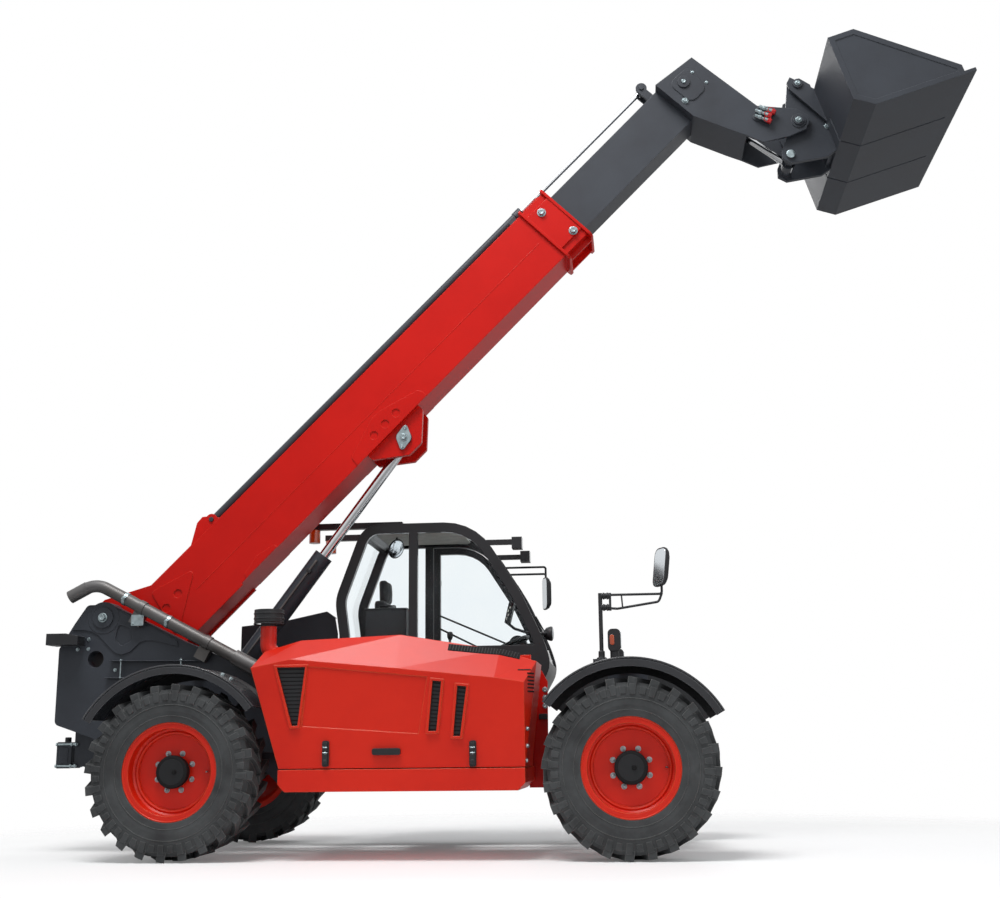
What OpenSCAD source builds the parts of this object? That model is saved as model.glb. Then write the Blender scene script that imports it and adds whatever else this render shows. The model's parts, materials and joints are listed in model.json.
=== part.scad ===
// Telehandler with a raised two-section boom, a quick hitch and a bucket.
// Millimetres. +X is forward, +Y is the machine's left, +Z is up, and the tyres stand on z = 0.
// Lengths below run from the rear axle until the last step moves the origin under the middle.

/* [Wheels] */
// Distance between the front and the rear axle
wheel_base = 3100; // [2700:10:3500]
// Width over the tyres
overall_w = 2300; // [2100:10:2500]
// Diameter over the tread lugs
tyre_d = 1176; // [1100:2:1250]
// Width of a tyre
tyre_w = 405; // [340:5:440]
// Diameter of the bead seat
rim_d = 600; // [560:5:620]
// Width of a rim over its flanges
rim_w = 340; // [300:5:360]
// Height of a rim flange over the bead seat
flange_h = 30; // [15:1:40]
// Thickness of the rim's metal
rim_t = 12; // [8:1:18]
// Diameter of the hub cap
hub_d = 210; // [160:5:240]
// Distance from the wheel's middle plane in to the kingpin
kingpin_in = 150; // [140:5:180]

/* [Frame] */
// Length of the frame behind the rear axle
rear_overhang = 1180; // [1000:10:1300]
// Length of the frame ahead of the front axle
nose_overhang = 330; // [250:10:420]
// Half the width over the frame rails
rail_half = 300; // [280:5:330]
// Thickness of a frame rail
rail_t = 60; // [40:5:80]
// Height of the axles' seats over their middle
seat_rise = 124; // [100:2:150]
// Height of the rails' top edge over the axles' seats
rail_up = 108; // [80:2:140]
// Depth of a rail between the axles
rail_h = 340; // [300:5:380]
// Half the width over the rear tower
tower_half = 330; // [310:5:360]
// Thickness of a tower plate
tower_t = 110; // [80:5:125]

/* [Boom] */
// Angle of the boom over the ground at rest
boom_angle = 45; // [40:1:50]
// Distance of the boom pivot behind the rear axle
pivot_back = 840; // [800:10:880]
// Height of the boom pivot over the rails
pivot_rise = 895; // [830:5:940]
// Width of the outer boom
boom_w = 370; // [330:5:380]
// Depth of the outer boom
boom_h = 500; // [460:5:520]
// Drop of the outer boom's top face under the pivot
boom_drop = 35; // [20:1:60]
// Distance from the pivot to the front of the outer boom
boom_l = 4480; // [4200:10:4700]
// Thickness of the boom plates
boom_t = 14; // [10:1:18]
// Length of the collar on the front of the outer boom
collar_l = 270; // [200:5:320]
// Width of the inner boom
inner_w = 270; // [240:5:290]
// Depth of the inner boom
inner_h = 385; // [350:5:400]
// Distance from the pivot to the inner boom's tip at rest
inner_tip = 6000; // [5900:10:6100]
// Length of the inner boom
inner_l = 3770; // [3500:10:3900]

/* [Head and bucket] */
// Distance from the inner boom's tip forward to the carriage pivot
head_l = 512; // [480:2:540]
// Drop of the carriage pivot under the boom pivot line
head_drop = 1138; // [1080:2:1180]
// Width over the head's side plates
head_w = 480; // [450:5:500]
// Thickness of the head's plates
head_t = 24; // [16:1:30]
// Angle of the bucket floor over the ground at rest
bucket_angle = 17; // [10:1:25]
// Width of the bucket
bucket_w = 2040; // [1800:10:2200]
// Depth of the bucket from its back to its side plates' front
bucket_l = 810; // [700:5:900]
// Height of the bucket's back over its floor
bucket_h = 618; // [560:2:680]
// Distance from the carriage pivot forward to the bucket's back
bucket_off = 206; // [190:2:230]
// Height of the carriage pivot over the bucket's floor
bucket_under = 406; // [380:2:430]
// Length of the cutting edge ahead of the side plates
lip_l = 83; // [60:1:110]
// Thickness of the bucket's plates
bucket_t = 14; // [10:1:20]

/* [Cylinders] */
// Distance from the pivot along the boom to the lift pin
lift_a = 2563; // [2500:1:2620]
// Depth of the lift pin under the pivot line
lift_drop = 634; // [620:1:660]
// Distance of the lift cylinder's foot pin behind the rear axle
foot_back = 138; // [110:1:160]
// Height of the lift cylinder's foot pin over the rails
foot_rise = 153; // [130:1:180]
// Outside diameter of the lift cylinder
lift_d = 150; // [130:2:160]
// Diameter of the lift cylinder's rod
lift_rod_d = 78; // [70:2:90]
// Outside diameter of the extension cylinder
ext_d = 76; // [70:2:84]
// Diameter of the extension cylinder's rod
ext_rod_d = 40; // [36:2:46]
// Height of the extension cylinder over the pivot line
ext_rise = 45; // [40:1:60]
// Outside diameter of the tilt cylinder
tilt_d = 110; // [100:2:120]
// Diameter of the tilt cylinder's rod
tilt_rod_d = 54; // [50:2:60]

/* [Cab] */
// Distance of the cab's rearmost point ahead of the rear axle
cab_x = 811; // [780:5:850]
// Distance of the cab's foremost point behind the front axle
cab_fore = 589; // [560:1:680]
// Height of the cab over the rails
cab_h = 1650; // [1550:10:1750]
// Distance of the cab's inner wall from the middle
cab_in = 220; // [210:5:240]
// Width of the cab
cab_w = 880; // [840:5:890]
// Thickness of the cab's walls and posts
cab_t = 50; // [40:2:60]
// Thickness of the glass
glass_t = 6; // [4:1:10]

/* [Engine side] */
// Depth of the sill's lower edge under the rails
sill_drop = 30; // [0:2:60]
// Height of the sill
sill_h = 145; // [120:5:170]
// Distance of the sill's rear end ahead of the rear axle
sill_x = 740; // [720:5:800]
// Distance of the sill's front end behind the front axle
sill_fore = 695; // [680:1:760]
// Distance of the sill's outer face from the middle
sill_out = 1090; // [1040:5:1120]
// Height of the engine cover's top over the sill
cover_h = 900; // [820:5:960]
// Thickness of the engine cover
cover_t = 12; // [6:1:16]
// Distance of the cover's inner edge from the middle
cover_in = 470; // [450:5:500]

/* [Fenders] */
// Gap between a tyre and its fender
fender_gap = 112; // [100:1:150]
// Thickness of a fender
fender_t = 14; // [8:1:20]
// Width of a fender
fender_w = 350; // [300:5:380]

/* [Hidden] */
$fn = 72;
// Overrun of a cut past a face
over = 20;
// Running clearance on a pin or a rod
fit = 0.05;
// Clearance of a sliding face
slide = 0.3;
// Gap round a moving panel
shut = 6;

tyre_r = tyre_d / 2;
axle_z = tyre_r;
axle_seat = axle_z + seat_rise;
rail_top = axle_seat + rail_up;
rail_low = rail_top - rail_h;
pivot_z = rail_top + pivot_rise;
sill_low = rail_low - sill_drop;
sill_l = wheel_base - sill_x - sill_fore;
cab_l = wheel_base - cab_x - cab_fore;
fender_r = tyre_r + fender_gap;
wheel_y = (overall_w - tyre_w) / 2;
kingpin_y = wheel_y - kingpin_in;
boom_front = boom_l + collar_l;
boom_mid = -boom_drop - boom_h / 2;
pad_w = (boom_w - inner_w) / 2 - boom_t;
pad_h = (boom_h - inner_h) / 2 - boom_t;
hitch_a = inner_tip + head_l;

// Point of the boom frame in the machine frame
function boom_point(a, n) = [
  -pivot_back + a * cos(boom_angle) - n * sin(boom_angle),
  pivot_z + a * sin(boom_angle) + n * cos(boom_angle)
];
hitch_at = boom_point(hitch_a, -head_drop);
lift_at = boom_point(lift_a, -lift_drop);
lift_base = [-foot_back, rail_top + foot_rise];
lift_l = norm(lift_at - lift_base);
lift_angle = atan2(lift_at[1] - lift_base[1], lift_at[0] - lift_base[0]);
lip_out = bucket_off + bucket_l + lip_l;
front_x = hitch_at[0] + lip_out * cos(bucket_angle) + bucket_under * sin(bucket_angle);
tail_x = -rear_overhang - tower_t * 2 / 3;
origin_x = (front_x + tail_x) / 2;

function unit(v) = v / norm(v);
function turn(v, a) = [v[0] * cos(a) - v[1] * sin(a), v[0] * sin(a) + v[1] * cos(a)];
function scaled(shares, l, h) = [for (s = shares) [s[0] * l, s[1] * h]];
function moved(points, by) = [for (p = points) p + by];
// Arc of radius r that rounds the corner p between its neighbours
function corner(a, p, b, r, n) = r == 0 ? [p] : let(
  u = unit(a - p),
  v = unit(b - p),
  half = acos(u * v) / 2,
  c = p + unit(u + v) * r / sin(half),
  s = p + u * r / tan(half) - c,
  e = p + v * r / tan(half) - c,
  sweep = atan2(s[0] * e[1] - s[1] * e[0], s * e)
) [for (i = [0:n]) c + turn(s, sweep * i / n)];
function rounded(points, r, n = 5) = let(m = len(points)) [
  for (i = [0:m - 1])
    each corner(points[(i + m - 1) % m], points[i], points[(i + 1) % m], is_list(r) ? r[i] : r, n)
];
// Outline moved in by d, for points that run anticlockwise
function inset(points, d) = let(m = len(points)) [
  for (i = [0:m - 1]) let(
    u = unit(points[i] - points[(i + m - 1) % m]),
    v = unit(points[(i + 1) % m] - points[i]),
    nu = [-u[1], u[0]],
    nv = [-v[1], v[0]]
  ) points[i] + (nu + nv) * d / (1 + nu * nv)
];

module box(low, high) translate(low) cube(high - low);
module slab(points, low, high) translate([0, high, 0]) rotate([90, 0, 0]) linear_extrude(high - low)
  polygon(points);
module rod_y(r, low, high) translate([0, low, 0]) rotate([-90, 0, 0]) cylinder(r = r, h = high - low);
module rod_x(r, low, high) translate([low, 0, 0]) rotate([0, 90, 0]) cylinder(r = r, h = high - low);
module turned(points) rotate([-90, 0, 0]) rotate_extrude() polygon(points);
module pair() {
  children();
  mirror([0, 1, 0]) children();
}
module placed() translate([-origin_x, 0, 0]) children();
module in_boom() placed() translate([-pivot_back, 0, pivot_z]) rotate([0, -boom_angle, 0]) children();
module in_bucket() placed() translate([hitch_at[0], 0, hitch_at[1]]) rotate([0, -bucket_angle, 0]) children();
// Frame of the lift cylinder: from the boom's pin towards the base along +X
module in_lift() placed() translate([lift_at[0], 0, lift_at[1]]) rotate([0, 180 - lift_angle, 0]) children();
// Wheel frame: axis along Y, outward along +Y, on the axle at x and the side s
module at_wheel(x, s) placed() translate([x, 0, axle_z]) mirror([0, s < 0 ? 1 : 0, 0]) translate([0, wheel_y, 0])
  children();
// Solid through sections of equal point counts
module loft(rows) {
  n = len(rows[0]);
  m = len(rows);
  polyhedron(
    points = [for (r = rows) each r],
    faces = concat(
      [for (j = [1:n - 2]) [0, j, j + 1]],
      [for (i = [0:m - 2]) for (j = [0:n - 1]) each [
        [i * n + j, (i + 1) * n + (j + 1) % n, i * n + (j + 1) % n],
        [i * n + j, (i + 1) * n + j, (i + 1) * n + (j + 1) % n]
      ]],
      [for (j = [1:n - 2]) [(m - 1) * n, (m - 1) * n + j + 1, (m - 1) * n + j]]
    )
  );
}

// Chassis

boss_r = 120;
pivot_r = 60;
pin_head_r = 78;
pin_head_t = 14;
tower_reach = 700;
tower_run = tower_reach + rear_overhang;
tower_rise = pivot_z + boss_r * 5 / 6 - rail_top;
tower_foot_share = (axle_seat - rail_top) / tower_rise;
tower_shares = [
  [0, 0.11], [0.17, 0], [0.17, tower_foot_share], [1, tower_foot_share], [1, 0], [0.79, 0.5], [0.52, 0.71],
  [0.21, 1], [0.11, 1], [0.06, 0.86], [0, 0.67]
];
tower_r = 40;
hole_r = 62;
hole_shares = [0.155, 0.59];
notch_run = 300;
base_boss_r = 62;
base_gap = 90;
post_shares = [-0.5, 0.45];
post_h = fender_r + axle_z + fender_t - rail_top;

function on_tower(shares) = moved(scaled(shares, tower_run, tower_rise), [-rear_overhang, rail_top]);
contour_t = 10;
contour_shares = [
  [0.055, 0.811], [0.109, 0.808], [0.135, 0.796], [0.164, 0.768], [0.22, 0.658], [0.24, 0.63], [0.263, 0.619],
  [0.297, 0.639], [0.336, 0.708], [0.36, 0.722], [0.395, 0.721], [0.495, 0.673], [0.488, 0.722], [0.213, 0.983],
  [0.113, 0.983], [0.067, 0.852]
];
tear_shares = [[0.232, 0.732], [0.261, 0.685], [0.307, 0.729], [0.292, 0.819], [0.245, 0.851]];
tear_r = 24;
lamp_arm_t = 24;
arm_shares = [[-0.02, 0.69], [0.11, 0.69], [0.11, 0.755], [0.06, 0.775], [-0.02, 0.775]];

module rail_outline() polygon([
  [-notch_run, axle_seat],
  [notch_run, axle_seat],
  [notch_run + axle_seat - rail_low, rail_low],
  [wheel_base - notch_run - axle_seat + rail_low, rail_low],
  [wheel_base - notch_run, axle_seat],
  [wheel_base + nose_overhang, axle_seat],
  [wheel_base + nose_overhang, rail_top],
  [-notch_run, rail_top]
]);

module frame_side() {
  difference() {
    union() {
      translate([0, rail_half, 0]) rotate([90, 0, 0]) linear_extrude(rail_t) rail_outline();
      slab(
        rounded(moved(scaled(tower_shares, tower_run, tower_rise), [-rear_overhang, rail_top]),
          [tower_r, tower_r, 0, 0, 0, tower_r, tower_r, tower_r, tower_r, tower_r, tower_r]),
        tower_half - tower_t, tower_half
      );
      translate([-pivot_back, 0, pivot_z]) rod_y(boss_r, boom_w / 2 + shut, tower_half + pin_head_t);
      translate([wheel_base, 0, 0]) box(
        [post_shares[0] * notch_run, rail_half - rail_t, rail_top - rail_t],
        [post_shares[1] * notch_run, rail_half, rail_top + post_h]
      );
    }
    translate([hole_shares[0] * tower_run - rear_overhang, 0, rail_top + hole_shares[1] * tower_rise])
      rod_y(hole_r, tower_half - tower_t - over, tower_half + over);
  }
  translate([-pivot_back, 0, pivot_z]) {
    rod_y(pivot_r, over, tower_half);
    rod_y(pin_head_r, tower_half, tower_half + pin_head_t * 2);
  }
  translate([lift_base[0], 0, lift_base[1]]) rod_y(base_boss_r, base_gap, tower_half - tower_t / 2);
  difference() {
    slab(on_tower(contour_shares), tower_half - over, tower_half + contour_t);
    slab(rounded(on_tower(tear_shares), tear_r), tower_half, tower_half + over * 2);
  }
  slab(rounded(on_tower(arm_shares), contour_t), tower_half - over, tower_half + lamp_arm_t);
}

module frame() color("#26282b") placed() pair() frame_side();

block_l = 230;
block_shares = [0.13, 0.66];
module rear_block() color("#26282b") placed() box(
  [-rear_overhang + over, -tower_half + tower_t, rail_top + block_shares[0] * tower_rise],
  [-rear_overhang + block_l, tower_half - tower_t, rail_top + block_shares[1] * tower_rise]
);

member_l = 140;
member_h = 150;
member_shares = [0.5, 0.79];
module crossmembers() color("#26282b") placed() {
  for (x = concat([tower_reach + member_l], member_shares * wheel_base)) box(
    [x - member_l / 2, -rail_half + rail_t, rail_top - member_h],
    [x + member_l / 2, rail_half - rail_t, rail_top]
  );
  box(
    [wheel_base + nose_overhang - member_l, -rail_half + rail_t, axle_seat],
    [wheel_base + nose_overhang, rail_half - rail_t, rail_top]
  );
}

shaft_r = 42;
joint_r = 72;
joint_l = 30;
nose_r = 78;
nose_l = 300;
case_shares = [0.43, 0.57];
case_half = 170;
case_drop = 150;
module driveline() color("#2b2d30") placed() {
  box(
    [case_shares[0] * wheel_base, -case_half, axle_z - case_drop],
    [case_shares[1] * wheel_base, case_half, rail_top - member_h]
  );
  translate([0, 0, axle_z]) {
    rod_x(shaft_r, nose_l + slide, wheel_base - nose_l - slide);
    for (x = [nose_l + slide, wheel_base - nose_l - slide - joint_l]) rod_x(joint_r, x, x + joint_l);
    for (x = case_shares * wheel_base) rod_x(joint_r, x - joint_l, x + joint_l);
  }
}

hitch_w = 160;
hitch_h = 330;
hitch_gap = 110;
hitch_pin_r = 16;
hitch_plate_t = 30;
hitch_reach = 90;
hitch_top = rail_top + block_shares[0] * tower_rise;
module tow_hitch() color("#26282b") placed() difference() {
  box(
    [tail_x, -hitch_w / 2, hitch_top - hitch_h],
    [-rear_overhang + block_l, hitch_w / 2, hitch_top]
  );
  box(
    [tail_x - over, -hitch_w / 2 - over, hitch_top - hitch_h + hitch_plate_t],
    [tail_x + hitch_reach * 3 / 2, hitch_w / 2 + over, hitch_top - hitch_h + hitch_plate_t + hitch_gap]
  );
  box(
    [tail_x - over, -hitch_w / 2 - over, hitch_top - hitch_h + hitch_plate_t * 2 + hitch_gap],
    [-rear_overhang + over * 3, hitch_w / 2 + over, hitch_top + over]
  );
  translate([tail_x + hitch_reach / 2, 0, hitch_top - hitch_h - over])
    cylinder(r = hitch_pin_r, h = hitch_gap + hitch_plate_t * 2 + over * 2);
}

// Axles and wheels

beam_r = 84;
diff_r = 150;
diff_w = 150;
yoke_z = 170;
yoke_t = 45;
yoke_r = 74;
yoke_back = 112;
pin_r = 32;
module axle_solid() {
  rod_x(nose_r, 0, nose_l);
  rod_y(beam_r, -kingpin_y + yoke_back, kingpin_y - yoke_back);
  turned([
    [0, -diff_w * 2], [beam_r, -diff_w * 2], [diff_r, -diff_w / 2], [diff_r, diff_w / 2], [beam_r, diff_w * 2],
    [0, diff_w * 2]
  ]);
  pair() {
    box([-beam_r, rail_half - rail_t, 0], [beam_r, rail_half, axle_seat - axle_z]);
    translate([0, kingpin_y, 0]) difference() {
      union() {
        box([-yoke_r, -yoke_back - yoke_t, -yoke_z], [yoke_r, -yoke_back, yoke_z]);
        for (z = [-yoke_z, yoke_z - yoke_t]) translate([0, 0, z]) {
          box([-yoke_r, -yoke_back - over / 2, 0], [yoke_r, 0, yoke_t]);
          cylinder(r = yoke_r, h = yoke_t);
        }
      }
      translate([0, 0, -yoke_z - over]) cylinder(r = pin_r + fit, h = yoke_z * 2 + over * 2);
    }
  }
}
module front_axle() color("#2b2d30") placed() translate([wheel_base, 0, axle_z]) mirror([1, 0, 0]) axle_solid();
module rear_axle() color("#2b2d30") placed() translate([0, 0, axle_z]) axle_solid();

disc_at = 40;
disc_t = 16;
hub_out = 130;
spindle_r = 112;
cap_t = 12;
module knuckle_solid() {
  translate([0, -kingpin_in, -yoke_z - cap_t]) cylinder(r = pin_r, h = yoke_z * 2 + cap_t * 2);
  translate([0, -kingpin_in, -yoke_z + yoke_t + shut]) cylinder(r = yoke_r, h = (yoke_z - yoke_t - shut) * 2);
  rod_y(spindle_r, -kingpin_in, disc_at - shut);
  rod_y(hub_d / 2, -kingpin_in, hub_out - over / 2);
  rod_y(hub_d / 2 - over, -kingpin_in, hub_out);
}
module knuckle_fl() color("#1c1d1f") at_wheel(wheel_base, 1) knuckle_solid();
module knuckle_fr() color("#1c1d1f") at_wheel(wheel_base, -1) knuckle_solid();
module knuckle_rl() color("#1c1d1f") at_wheel(0, 1) knuckle_solid();
module knuckle_rr() color("#1c1d1f") at_wheel(0, -1) knuckle_solid();

bead_r = rim_d / 2;
well_drop = 38;
well_r = bead_r - well_drop;
flange_r = bead_r + flange_h;
well_share = 0.16;
seat_share = 0.24;
module rim_solid() difference() {
  union() {
    turned([
      [flange_r, -rim_w / 2], [flange_r, -rim_w / 2 + rim_t], [bead_r, -rim_w / 2 + rim_t],
      [bead_r, -rim_w * seat_share], [well_r, -rim_w * well_share], [well_r, rim_w * well_share],
      [bead_r, rim_w * seat_share], [bead_r, rim_w / 2 - rim_t], [flange_r, rim_w / 2 - rim_t],
      [flange_r, rim_w / 2], [bead_r - rim_t, rim_w / 2], [bead_r - rim_t, rim_w * seat_share],
      [well_r - rim_t, rim_w * well_share], [well_r - rim_t, -rim_w * well_share],
      [bead_r - rim_t, -rim_w * seat_share], [bead_r - rim_t, -rim_w / 2]
    ]);
    rod_y(well_r - rim_t / 2, disc_at, disc_at + disc_t);
  }
  rod_y(hub_d / 2 + fit, disc_at - over, disc_at + disc_t + over);
}
module rim_fl() color("#b3150f") at_wheel(wheel_base, 1) rim_solid();
module rim_fr() color("#b3150f") at_wheel(wheel_base, -1) rim_solid();
module rim_rl() color("#b3150f") at_wheel(0, 1) rim_solid();
module rim_rr() color("#b3150f") at_wheel(0, -1) rim_solid();

lug_h = 38;
lug_n = 24;
lug_w = 58;
lug_skew = 110;
lug_past_mid = 10;
lug_shares = [0.2, 0.47];
bend_share = 0.6;
root_share = 0.8;
crown_r = tyre_r - lug_h;
wall_run = crown_r - flange_r;
lug_root = flange_r + root_share * wall_run;
lug_half = (lug_skew + lug_w) / 2;
lug_top = sqrt(tyre_r * tyre_r - lug_half * lug_half);
lug_line = moved([
  [-lug_past_mid, 0], [lug_shares[0] * tyre_w, bend_share * lug_skew], [lug_shares[1] * tyre_w, lug_skew],
  [lug_shares[1] * tyre_w, lug_skew + lug_w], [lug_shares[0] * tyre_w, bend_share * lug_skew + lug_w],
  [-lug_past_mid, lug_w]
], [0, -lug_half]);
wall_shares = [[0, 0.45], [0.33, 0.495], [0.62, 0.5], [0.86, 0.475], [1, 0.4]];
tyre_side = concat(
  [[bead_r + slide, rim_w / 2 - rim_t - slide], [flange_r + slide, rim_w / 2 - rim_t - slide]],
  [for (w = wall_shares) [flange_r + slide + w[0] * (wall_run - slide), w[1] * tyre_w]]
);
// Bars of the tread from the middle out over both shoulders, with one bar's corner on the ground
module tread() for (side = [0, 1]) mirror([0, side, 0]) for (i = [0:lug_n - 1])
  rotate([0, 90 + asin(lug_half / tyre_r) + (i + side / 2) * 360 / lug_n, 0]) translate([lug_root, 0, 0])
    rotate([90, 0, 90]) linear_extrude(lug_top - lug_root) polygon(lug_line);
module tyre_solid() union() {
  turned(concat(tyre_side, [for (k = [len(tyre_side) - 1:-1:0]) [tyre_side[k][0], -tyre_side[k][1]]]));
  tread();
}
module tyre_fl() color("#232323") at_wheel(wheel_base, 1) tyre_solid();
module tyre_fr() color("#232323") at_wheel(wheel_base, -1) tyre_solid();
module tyre_rl() color("#232323") at_wheel(0, 1) tyre_solid();
module tyre_rr() color("#232323") at_wheel(0, -1) tyre_solid();

// Engine side

wall_y = cover_in - shut * 2;
wall_t = 20;
sill_top = sill_low + sill_h;
sill_end = sill_x + sill_l;
hinge_share = 0.9;
hinge_z = sill_top + cover_h * hinge_share;
hinge_y = wall_y - wall_t / 2;
hinge_r = 16;
hinge_pin_r = 8;
hinge_l = 120;
hinge_shares = [0.2, 0.8];
module engine_bay() color("#b3150f") placed() {
  mirror([0, 1, 0]) {
    slab(
      [[sill_x + sill_h / 3, sill_low], [sill_end - sill_h / 3, sill_low], [sill_end, sill_low + sill_h / 3],
        [sill_end, sill_top], [sill_x, sill_top], [sill_x, sill_low + sill_h / 3]],
      rail_half, sill_out
    );
    box([sill_x, wall_y - wall_t, sill_top - over], [sill_end, wall_y, hinge_z - hinge_r * 2]);
    for (s = hinge_shares) translate([sill_x + s * sill_l, hinge_y, hinge_z]) {
      box([-hinge_l / 2, -wall_t / 2, -hinge_r * 3], [-hinge_l / 4, wall_t / 2, hinge_r / 2]);
      rod_x(hinge_pin_r, -hinge_l / 2, hinge_l / 2);
    }
  }
}

engine_shares = [0.12, 0.72];
engine_h = 560;
engine_in = 80;
module engine() color("#3a3c40") placed() box(
  [sill_x + engine_shares[0] * sill_l, -sill_out + engine_in * 2, sill_top],
  [sill_x + engine_shares[1] * sill_l, -wall_y - engine_in / 4, sill_top + engine_h]
);

// Stations of the cover: length shares at the sill, the bend and the top, height shares of the bend and the top
cover_shares = [
  [0.000, -0.125, -0.095, 0.755, 0.890],
  [0.085, 0.040, 0.060, 0.815, 0.970],
  [0.480, 0.480, 0.480, 0.735, 1.000],
  [0.880, 0.880, 0.895, 0.655, 0.870],
  [1.000, 1.000, 1.045, 0.620, 0.780]
];
cover_lean = 16;
cover_slope = 170;
function cover_row(c, dx, d, dz, din) = let(
  low = sill_x + c[0] * sill_l + dx,
  bend = sill_x + c[1] * sill_l + dx,
  top = sill_x + c[2] * sill_l + dx,
  z0 = sill_top + shut - dz
) [
  [low, sill_out - cover_lean - d, z0],
  [bend, sill_out - d, sill_top + c[3] * cover_h],
  [top, sill_out - cover_slope - d, sill_top + c[4] * cover_h - d],
  [top, cover_in - din, sill_top + c[4] * cover_h - d],
  [low, cover_in - din, z0]
];
function ends(i, d) = i == 0 ? d : i == len(cover_shares) - 1 ? -d : 0;
vent_shares = [[-0.015, 0.755], [0.105, 0.755], [0.078, 0.320], [0.053, 0.320]];
slot_shares = [
  [[0.630, 0.640], [0.666, 0.632], [0.646, 0.270], [0.613, 0.270]],
  [[0.731, 0.600], [0.768, 0.592], [0.742, 0.232], [0.714, 0.232]]
];
intake_shares = [-0.11, 0.872];
intake_y = 750;
intake_r = 57;
intake_h = 205;
panel_shares = [[0.113, 0.76], [0.607, 0.668], [0.572, 0.252], [0.093, 0.316]];
panel_d = cover_t * 2 / 3;
bend_z_share = 0.74;
bezel_w = 16;
bezel_out = 9;
function on_cover(shares) = moved(scaled(shares, sill_l, cover_h), [sill_x, sill_top]);
// Recess that follows the lean of the cover's side
function panel_row(d) = [for (p = panel_shares)
  [sill_x + p[0] * sill_l, sill_out - cover_lean * (1 - p[1] / bend_z_share) - d, sill_top + p[1] * cover_h]];
elbow_r = 85;
intake_at = [sill_x + intake_shares[0] * sill_l, intake_y, sill_top + cover_h * intake_shares[1] + intake_h];
module engine_cover() color("#b3150f") placed() mirror([0, 1, 0]) {
  difference() {
    union() {
      loft([for (c = cover_shares) cover_row(c, 0, 0, 0, 0)]);
      for (v = concat([vent_shares], slot_shares))
        slab(inset(on_cover(v), bezel_w), sill_out - cover_lean - cover_t / 2, sill_out + bezel_out);
    }
    loft([panel_row(panel_d), panel_row(-over)]);
    loft([for (i = [0:len(cover_shares) - 1]) cover_row(cover_shares[i], ends(i, cover_t), cover_t, over, over)]);
    for (v = concat([vent_shares], slot_shares)) slab(on_cover(v), sill_out - over * 2, sill_out + over);
  }
  for (s = hinge_shares) translate([sill_x + s * sill_l, hinge_y, hinge_z]) difference() {
    union() {
      rod_x(hinge_r, -hinge_l / 4 + shut / 6, hinge_l / 2);
      box([-hinge_l / 4 + shut / 6, 0, -hinge_r], [hinge_l / 2, cover_in + over / 2 - hinge_y, 0]);
    }
    rod_x(hinge_pin_r + fit, -hinge_l, hinge_l);
  }
  translate(intake_at) {
    translate([0, 0, elbow_r - intake_h]) cylinder(r = intake_r, h = intake_h - elbow_r);
    translate([elbow_r, 0, elbow_r - intake_h]) rotate([90, 0, 0]) rotate(180) rotate_extrude(angle = 90)
      translate([elbow_r, 0]) circle(r = intake_r);
    translate([0, 0, -intake_h]) rod_x(intake_r, elbow_r, elbow_r * 3 / 2);
  }
  intersection() {
    loft([for (c = cover_shares) cover_row(c, 0, 0, 0, 0)]);
    for (s = hinge_shares) translate([sill_x + s * sill_l, cover_in, hinge_z])
      box([-hinge_l / 4 + shut / 6, -over, -hinge_r], [hinge_l / 2, over, cover_h]);
  }
}

// Corner of each latch, and the height share of the cover's bend above it
latch_shares = [[0.181, 0.02, 0.76], [0.778, 0.01, 0.64]];
latch_w = 46;
latch_h = 170;
latch_out = 14;
grip_shares = [[0.386, 0.1], [0.5, 0.15]];
module cover_trim() color("#1c1d1f") placed() mirror([0, 1, 0]) {
  for (v = concat([vent_shares], slot_shares))
    slab(on_cover(v), sill_out - cover_lean - cover_t, sill_out - cover_t);
  for (s = latch_shares) let(
    p = on_cover([s])[0],
    top_share = (p[1] + latch_h - sill_top) / cover_h,
    y = sill_out - cover_lean * (1 - top_share / s[2]) + slide
  ) slab(rounded([p, p + [latch_w, 0], p + [latch_w, latch_h], p + [0, latch_h]], latch_out), y, y + latch_out);
  let(
    grip = on_cover(grip_shares),
    y = sill_out - cover_lean * (1 - grip_shares[1][1] / bend_z_share) + slide
  ) slab(
    rounded([grip[0], [grip[1][0], grip[0][1]], grip[1], [grip[0][0], grip[1][1]]], latch_out), y, y + latch_out * 2
  );
}

// Boom

boom_tail = 190;
pad_l = 140;
boss_w = boom_w / 2;
tail_shares = [
  [-0.62, -0.35], [-0.62, 0.35], [-0.25, 0.62], [0.25, 0.62], [1.7, -0.18], [3.6, -0.18], [3.6, -2.2], [1.1, -2.2]
];
module boom_tube(low, high, w, h, t) difference() {
  translate([low, -w / 2, boom_mid - h / 2]) cube([high - low, w, h]);
  translate([low - over, -w / 2 + t, boom_mid - h / 2 + t]) cube([high - low + over * 2, w - t * 2, h - t * 2]);
}
lug_t = 45;
lug_out = 150;
lift_lug_shares = [[-0.53, 0.0], [-0.53, 0.18], [-0.12, 1.0], [0.12, 1.0], [0.47, 0.2], [0.47, 0.0]];
lug_run = 555;
lug_past = 125;
lug_drop = lift_drop - boom_drop - boom_h + lug_past;
lug_pin_r = 40;
ear_t = 20;
ear_in = ext_d / 2 + shut;
ear_r = 45;
ear_pin_r = 18;
ext_back = 1060;
gland_out = 75;
ext_gland = boom_l + gland_out;
eye_back = 28;
ext_eye = inner_tip - eye_back;
plate_t = 8;
tail_plate_shares = [[0.542, -0.95], [1.44, -0.372], [0.72, -0.14]];
tail_plug_shares = [[1.0, -0.466], [0.72, -0.5]];
low_plate_shares = [[1.9, -1.07], [2.57, -1.07], [2.56, -1.004], [2.26, -0.936], [1.93, -1.0]];
lug_plate_shares = [
  [-0.726, 0], [0.643, 0], [0.645, 0.094], [0.607, 0.168], [0.04, 0.368], [-0.114, 0.376], [-0.71, 0.162]
];
lug_plug_shares = [[-0.267, 0.154], [-0.045, 0.156], [0.171, 0.158]];
plug_r = 33;
plate_r = 24;
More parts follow.
